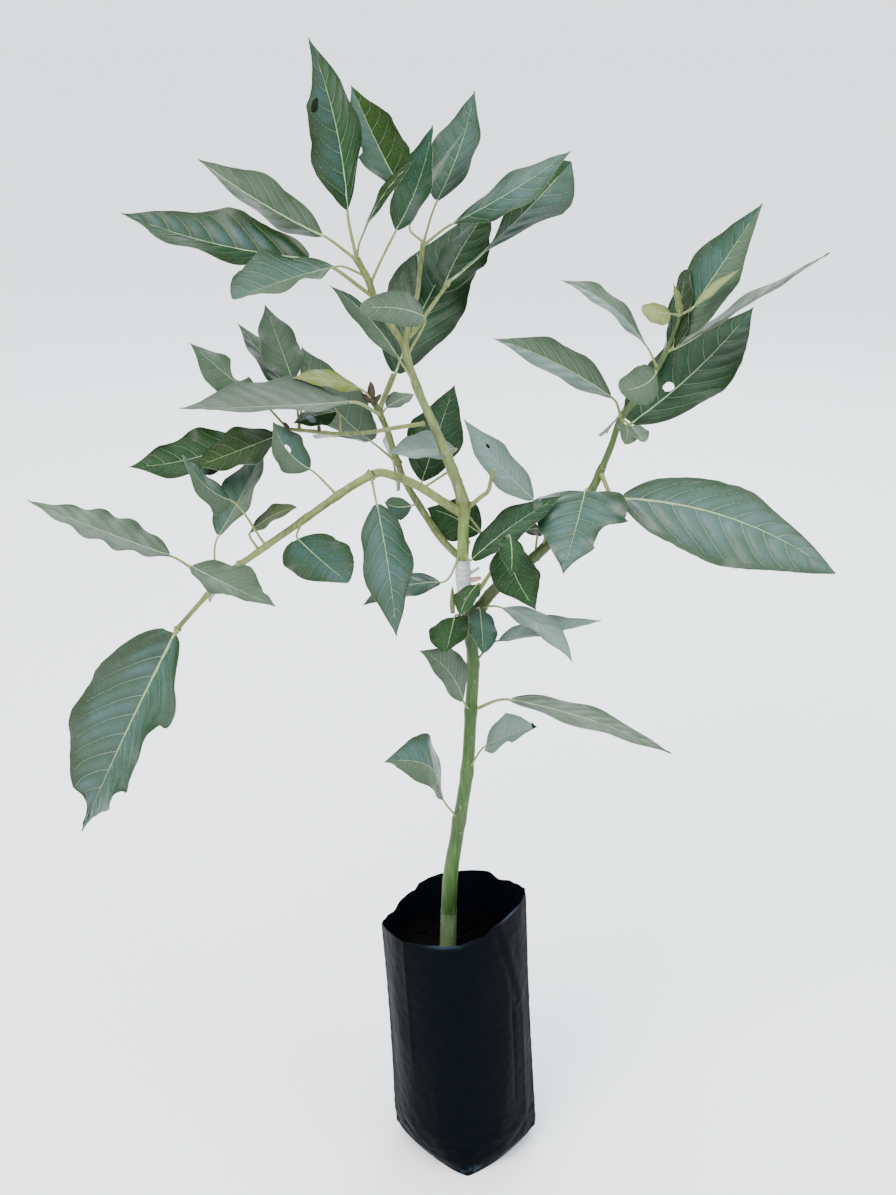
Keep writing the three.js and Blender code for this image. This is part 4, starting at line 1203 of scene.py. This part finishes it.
def make_bag():
    """The film: its outer wall up to the rim, then its inner wall down into the soil."""
    shape = Shape()
    rings = bag_rings(0.0, BAG_UP, 0) + bag_rings(SOIL_TOP - UNDER_SOIL, INNER_UP, FILM)[::-1]
    points = [point for ring in rings for point in ring]
    # The shade of each point holds the film's painted highlights
    shades = [painted_film_highlight(360 * (k % BAG_AROUND) / BAG_AROUND, point.z)
              for k, point in enumerate(points)]
    foot, last = len(points), len(points) - BAG_AROUND
    points += [Vector((0, 0, 0)), Vector((shift_at(SOIL_TOP), 0, SOIL_TOP - UNDER_SOIL))]
    faces = ring_faces(len(rings), BAG_AROUND)
    faces += fan_faces(foot, 0, BAG_AROUND, True) + fan_faces(foot + 1, last, BAG_AROUND)
    outside = BAG_UP * BAG_AROUND
    finishes = ["film"] * outside + ["film_inside"] * (last - outside)
    finishes += ["film"] * BAG_AROUND + ["film_inside"] * BAG_AROUND
    shape.add(points, faces, finishes, shades + [0.0, 0.0])
    shape.piece("nursery_bag", "polythene", ["planter_bag"], 60)


SOIL_RINGS, SOIL_AROUND = 60, 200
SOIL_GAP = 0.6                # between the soil and the film
SOIL_DEEP = 5                 # how far down the soil's piece goes
CRUMBS = 150
CRUMBS_REACH = 50             # from the middle


def make_soil():
    """The soil's crumbly top, a little hollow in the middle and banked at the film."""
    shape = Shape()
    rings, around = SOIL_RINGS, SOIL_AROUND
    centre = Vector((shift_at(SOIL_TOP), 0, 0))
    walls = [bag_point(360 * k / around, SOIL_TOP, FILM + SOIL_GAP) for k in range(around)]
    points = [centre + UP * SOIL_TOP]
    for i in range(1, rings + 1):
        share = i / rings
        for wall in walls:
            at = centre + (Vector((wall.x, wall.y, 0)) - centre) * share
            lift = 1.6 * share ** 6 - 0.8 * (1 - share ** 2)
            lift += 1.5 * rough(at, 14, 5) + 1.0 * rough(at, 4.5, 8) + 0.5 * rough(at, 1.9, 9)
            points.append(at + UP * (SOIL_TOP - 0.5 + lift))
    points += [Vector((wall.x, wall.y, SOIL_TOP - SOIL_DEEP)) for wall in walls]
    points.append(centre + UP * (SOIL_TOP - SOIL_DEEP))
    faces = fan_faces(0, 1, around) + ring_faces(rings + 1, around, 1, True)
    faces += fan_faces(len(points) - 1, 1 + rings * around, around, True)
    shape.add(points, faces, "soil")
    draw = seeded(97)
    for _ in range(CRUMBS):
        turn, out = 360 * draw(), CRUMBS_REACH * draw() ** 0.5
        size = 0.8 + 2.0 * draw() ** 2
        at = centre + Vector((math.cos(turn) * out, math.sin(turn) * out, SOIL_TOP))
        crumb(shape, at, size, draw() * 50)
    shape.piece("potting_soil", "soil", ["soil"], 50)


def crumb(shape, at, size, seed):
    """One loose lump of soil or bark."""
    points = []
    around, up, flat = 9, 6, 0.7
    for i in range(1, up):
        tilt = math.pi * i / up
        for k in range(around):
            turn = 2 * math.pi * k / around
            out = Vector((math.sin(tilt) * math.cos(turn), math.sin(tilt) * math.sin(turn),
                          flat * math.cos(tilt)))
            points.append(at + out * size * (1 + 0.35 * noise.noise(out * 1.7 + UP * seed)))
    top, last = len(points), len(points) - around
    points += [at + UP * flat * size, at - UP * flat * size]
    faces = ring_faces(up - 1, around, 0, True) + fan_faces(top, 0, around)
    shape.add(points, faces + fan_faces(top + 1, last, around, True), "soil")


# ---------- the graft's tape ----------

TAPE_LINE = Line([(-4, 0, TAPE_FOOT, 10.6), (-5.1, 0, 497, 11.2), (-5.2, 0, TAPE_TOP, 10.4)])
TAPE_TURNS = 6
TAPE_EDGE = 0.42              # how far each wrap's edge stands out
TAPE_RINGS, TAPE_AROUND = 70, 72

# The tape's loose ends: each one's root, its run, its width, its finish and its seed.
SCRAPS = [
    ((0.6, -2.5, 494), (7.5, -1.5, 2.0), 4.2, "wax", 1),
    ((0.2, -1.5, 499), (6.5, 1.0, 3.5), 3.0, "tape", 2),
    ((0.5, -3.0, 490), (4.5, -3.0, -3.5), 2.6, "tape", 3),
]
SCRAP_LONG, SCRAP_WIDE = 16, 8
SCRAP_THICK = 0.24


def make_tape():
    """The tape, wound up round the graft, with its loose ends."""
    shape = Shape()

    def relief(point, place, turn):
        wrap = (place * TAPE_TURNS - turn / (2 * math.pi)) % 1
        edge = TAPE_EDGE * (1 - wrap) ** 3
        creased = 0.30 * abs(rough(Vector((point.x, point.y, point.z * 3)), 5, 2))
        return edge + creased + 0.15 * rough(point, 2.2, 4)

    def radius_at(place):
        return TAPE_LINE.width(place) / 2 - 0.1

    tube(shape, TAPE_LINE.at, radius_at, TAPE_RINGS, TAPE_AROUND, "tape", relief)
    for row in SCRAPS:
        scrap(shape, *row)
    shape.piece("graft_tape_wraps", "graft_tape", ["graft_tape"], 40)


def scrap(shape, foot, run, width, finish, seed):
    """A torn end of tape, thin, crumpled and ragged at its edge."""
    foot, run = Vector(foot), Vector(run)
    side = run.cross(UP).normalized().cross(run).normalized() * width / 2
    face = run.cross(side).normalized()
    middle, upper = [], []
    for i in range(SCRAP_LONG + 1):
        for k in range(SCRAP_WIDE + 1):
            s, t = i / SCRAP_LONG, 2 * k / SCRAP_WIDE - 1
            ragged = 1 + 0.25 * noise.noise(Vector((s * 4, t * 3, seed)))
            at = foot + run * s * ragged + side * t * (1 - 0.35 * s) * ragged
            middle.append(at + face * 1.1 * noise.noise(Vector((s * 3, t * 2, seed + 9))))
            if i and k:
                a = len(middle) - 1
                upper.append((a - SCRAP_WIDE - 2, a - 1, a, a - SCRAP_WIDE - 1))
    points = [at + face * SCRAP_THICK / 2 for at in middle]
    points += [at - face * SCRAP_THICK / 2 for at in middle]
    under, rim = sheet_faces(upper, len(middle))
    shape.add(points, upper + under + rim, finish)


# ---------- the tree ----------

STEM_LEAVES = {
    "top_left": TOP_LEFT_LEAVES, "top_right": TOP_RIGHT_LEAVES, "top_side": TOP_SIDE_LEAVES,
    "back_stem": BACK_LEAVES, "back_branch": BACK_BRANCH_LEAVES, "right_stem": RIGHT_LEAVES,
    "twig_stem": TWIG_LEAVES, "left_stem": LEFT_LEAVES, "graft_twig": GRAFT_LEAVES,
}
STEM_LEAVES = {limb: leaves + rear_leaves(limb) for limb, leaves in STEM_LEAVES.items()}
LONE_LEAVES += [
    ("leaf_rear_stock", "stock", *rear_leaves("stock")),
    ("leaf_rear_leader", "leader", *rear_leaves("leader")),
    ("leaf_rear_right", "right_bough", *rear_leaves("right_bough")),
]
MASSES = {
    "crown_left": ["top_left"], "crown_right": ["top_right", "top_side"],
    "crown_back": ["back_stem", "back_branch"], "crown_bough_right": ["right_stem"],
    "crown_twig_left": ["twig_stem"], "crown_bough_left": ["left_stem"],
    "spray_graft": ["graft_twig"],
}
TWIG_BARKS = {"right_stem": "right_bark", "back_stem": "back_bark"}

# The wood: each limb, the solid that it stands for, its slot and its bark.
WOOD = [
    ("stock", "trunk_stock", "green_bark", "stock"),
    ("leader", "leader", "young_bark", "leader"),
    ("back_bough", "bough_back", "green_bark", "back_bark"),
    ("left_rise", "bough_left_rise", "young_bark", "young_bark"),
    ("left_fall", "bough_left_fall", "young_bark", "young_bark"),
    ("right_bough", "bough_right", "green_bark", "right_bark"),
    ("fork_stub", "fork_stub", "young_bark", "young_bark"),
]


def add_leaf(blades, ribs, limb, kind, number):
    """Adds one leaf: its blade and flecks to one shape, its veins and petiole to the other."""
    blade = Blade(LIMBS[limb].at(kind["place"]) + kind["petiole"], kind, number)
    blade_body(blades, blade)
    fleck_bodies(blades, blade)
    vein_bodies(ribs, blade, VEINS.get(kind["finish"], "vein"))
    pale = kind["finish"] in PALE_KINDS
    petiole_body(ribs, limb, kind, blade, "petiole_pale" if pale else "petiole")


def bud(shape, at, run, width, finish):
    """A pointed bud or a stub's dried tip, with three keeled scales."""
    at, run = Vector(at), Vector(run)

    def radius_at(place):
        return width / 2 * (math.sin(math.pi * (0.25 + 0.75 * place)) ** 0.8 + 0.06)

    def relief(point, place, turn):
        return 0.10 * width * math.cos(3 * turn + 4 * place) + 0.1 * rough(point, 1.5)

    tube(shape, lambda place: at + run * place, radius_at, 14, 18, finish, relief)


# Buds at the tips of stems: where on which stem, which way they run, their width and finish.
BUDS = {
    "back_stem": [((-69.5, 14, 623), (-1, 0, 13), 5.2, "bud"),
                  ((-70, 13, 622), (-7, -1, 6), 3.6, "bud"),
                  ((-68, 13, 621), (5, -2, 7), 3.4, "bud")],
    "right_stem": [((147, 33, 680), (1, -1, 7), 3.2, "young"),
                   ((147, 33, 681), (-3, -1, 4), 2.2, "young")],
    "graft_twig": [((-12.4, -2, 468), (-0.6, -1, 21), 3.6, "back_bark"),
                   ((3.2, -4, 480), (-2.4, -1, 10), 3.0, "bud"),
                   ((18, -20, 511), (1, -2, 5), 2.6, "bud")],
    "twig_stem": [((-124, -32, 613), (-3, -1, 6), 3.0, "bud"),
                  ((-103.5, -26, 611), (-1, -1, 5), 2.4, "bud")],
}


def make_tree():
    """Every mass of leaves with its stem, then the lone leaves limb by limb, then the wood."""
    number = 0
    nodes = {name: [] for name in LIMBS}
    for limb, leaves in STEM_LEAVES.items():
        nodes[limb] += [kind["place"] for kind in leaves]
    for _, limb, kind in LONE_LEAVES:
        nodes[limb].append(kind["place"])
    for mass, limbs in MASSES.items():
        blades, ribs, twigs = Shape(), Shape(), Shape()
        for limb in limbs:
            bark = TWIG_BARKS.get(limb, "young_bark")
            limb_body(twigs, limb, bark, nodes[limb], TWIG_FLARE)
            for row in BUDS.get(limb, []):
                bud(twigs, *row)
            for kind in STEM_LEAVES[limb]:
                number += 1
                add_leaf(blades, ribs, limb, kind, number)
        blades.piece(mass + "_blades", "foliage", [mass])
        ribs.piece(mass + "_petioles", "foliage", [mass])
        twigs.piece(mass + "_twigs", "foliage", [mass])
    groups = {}
    for node, limb, kind in LONE_LEAVES:
        number += 1
        blades, ribs, names = groups.setdefault(limb, (Shape(), Shape(), []))
        add_leaf(blades, ribs, limb, kind, number)
        names.append(node)
    for limb, (blades, ribs, names) in groups.items():
        blades.piece(limb + "_leaf_blades", "foliage", names)
        ribs.piece(limb + "_leaf_petioles", "foliage", names)
    for limb, node, slot, bark in WOOD:
        wood = Shape()
        limb_body(wood, limb, bark, nodes[limb], LIMB_FLARE, 1.0)
        wood.piece(node + "_bark", slot, [node])


# ---------- floor, light and camera ----------

# The soft light all round: its height as the sine of its elevation, its level and its colour.
SKY_STRENGTH = 3.2
SKY = [
    (0.0, 0.645, (0.914, 0.966, 1.014)), (0.05, 0.645, (0.914, 0.966, 1.014)),
    (0.22, 0.32, (0.97, 0.98, 1.0)), (0.50, 0.30, (0.95, 0.97, 1.0)),
    (0.72, 0.85, (0.91, 0.96, 1.0)), (1.0, 1.0, (0.90, 0.95, 1.0)),
]

# Round lamps: where each one hangs in metres, its size, its power and its colour.
LAMPS = [
    ("key_softbox", (-1.5, -2.1, 2.9), 2.2, 150, (1.0, 0.98, 0.95)),
    ("fill_softbox", (2.4, -1.5, 1.9), 2.6, 50, (0.90, 0.95, 1.0)),
    ("back_softbox", (0.6, 2.3, 2.2), 2.0, 50, (0.92, 0.96, 1.0)),
]
LAMPS_AIM = Vector((0, 0, 0.45))
FLOOR_REACH = 60.0            # metres
FLOOR_AROUND = 96


def make_studio():
    """A wide pale floor, the light all round and the lamps."""
    floor = bpy.data.meshes.new("studio_floor")
    turns = [2 * math.pi * k / FLOOR_AROUND for k in range(FLOOR_AROUND)]
    ring = [(FLOOR_REACH * math.cos(turn), FLOOR_REACH * math.sin(turn), 0) for turn in turns]
    floor.from_pydata(ring, [], [tuple(range(FLOOR_AROUND))])
    surface = Finish("studio_floor", Specular_IOR_Level=0.2, Roughness=0.8)
    surface.set("Base Color", surface.mix(surface.noise(900, 2.0), "fbfbfc", "f8f9fa"))
    floor.materials.append(surface.material)
    made = bpy.data.objects.new("studio_floor", floor)
    bpy.context.scene.collection.objects.link(made)
    world = bpy.data.worlds.new("studio_world")
    bpy.context.scene.world = world
    world.use_nodes = True
    sky = Nodes(world.node_tree)
    direction = sky.node("ShaderNodeTexCoord", {}, {}, "Generated")
    height = sky.node("ShaderNodeSeparateXYZ", {}, {"Vector": direction}, "Z")
    stops = [(at, (*[level * c for c in colour], 1)) for at, level, colour in SKY]
    light = sky.node("ShaderNodeValToRGB", {"stops": stops}, {"Fac": height})
    sky.put(sky.nodes["Background"], "Color", light)
    sky.put(sky.nodes["Background"], "Strength", SKY_STRENGTH)
    for name, at, size, power, colour in LAMPS:
        light = bpy.data.lights.new(name, "AREA")
        light.shape = "DISK"
        light.size = size
        light.energy = power
        light.color = colour
        lamp = bpy.data.objects.new(name, light)
        lamp.location = at
        lamp.rotation_euler = (LAMPS_AIM - Vector(at)).to_track_quat("-Z", "Y").to_euler()
        bpy.context.scene.collection.objects.link(lamp)


CAMERA_PITCH = 20.9           # degrees down
FOCAL = 1500                  # pixels of the frame
FRAME_HIGH = 1195
SENSOR = 36


def make_camera():
    """The view from the front and a little above."""
    data = bpy.data.cameras.new("camera")
    data.sensor_fit = "VERTICAL"
    data.sensor_height = SENSOR
    data.lens = FOCAL / FRAME_HIGH * SENSOR
    data.clip_end = 200       # metres, so that the whole floor shows
    camera = bpy.data.objects.new("camera", data)
    camera.location = CAMERA_AT * MM
    camera.rotation_euler = (math.radians(90 - CAMERA_PITCH), 0, 0)
    bpy.context.scene.collection.objects.link(camera)
    bpy.context.scene.camera = camera


make_camera()
make_bag()
make_soil()
make_tape()
make_tree()
make_studio()
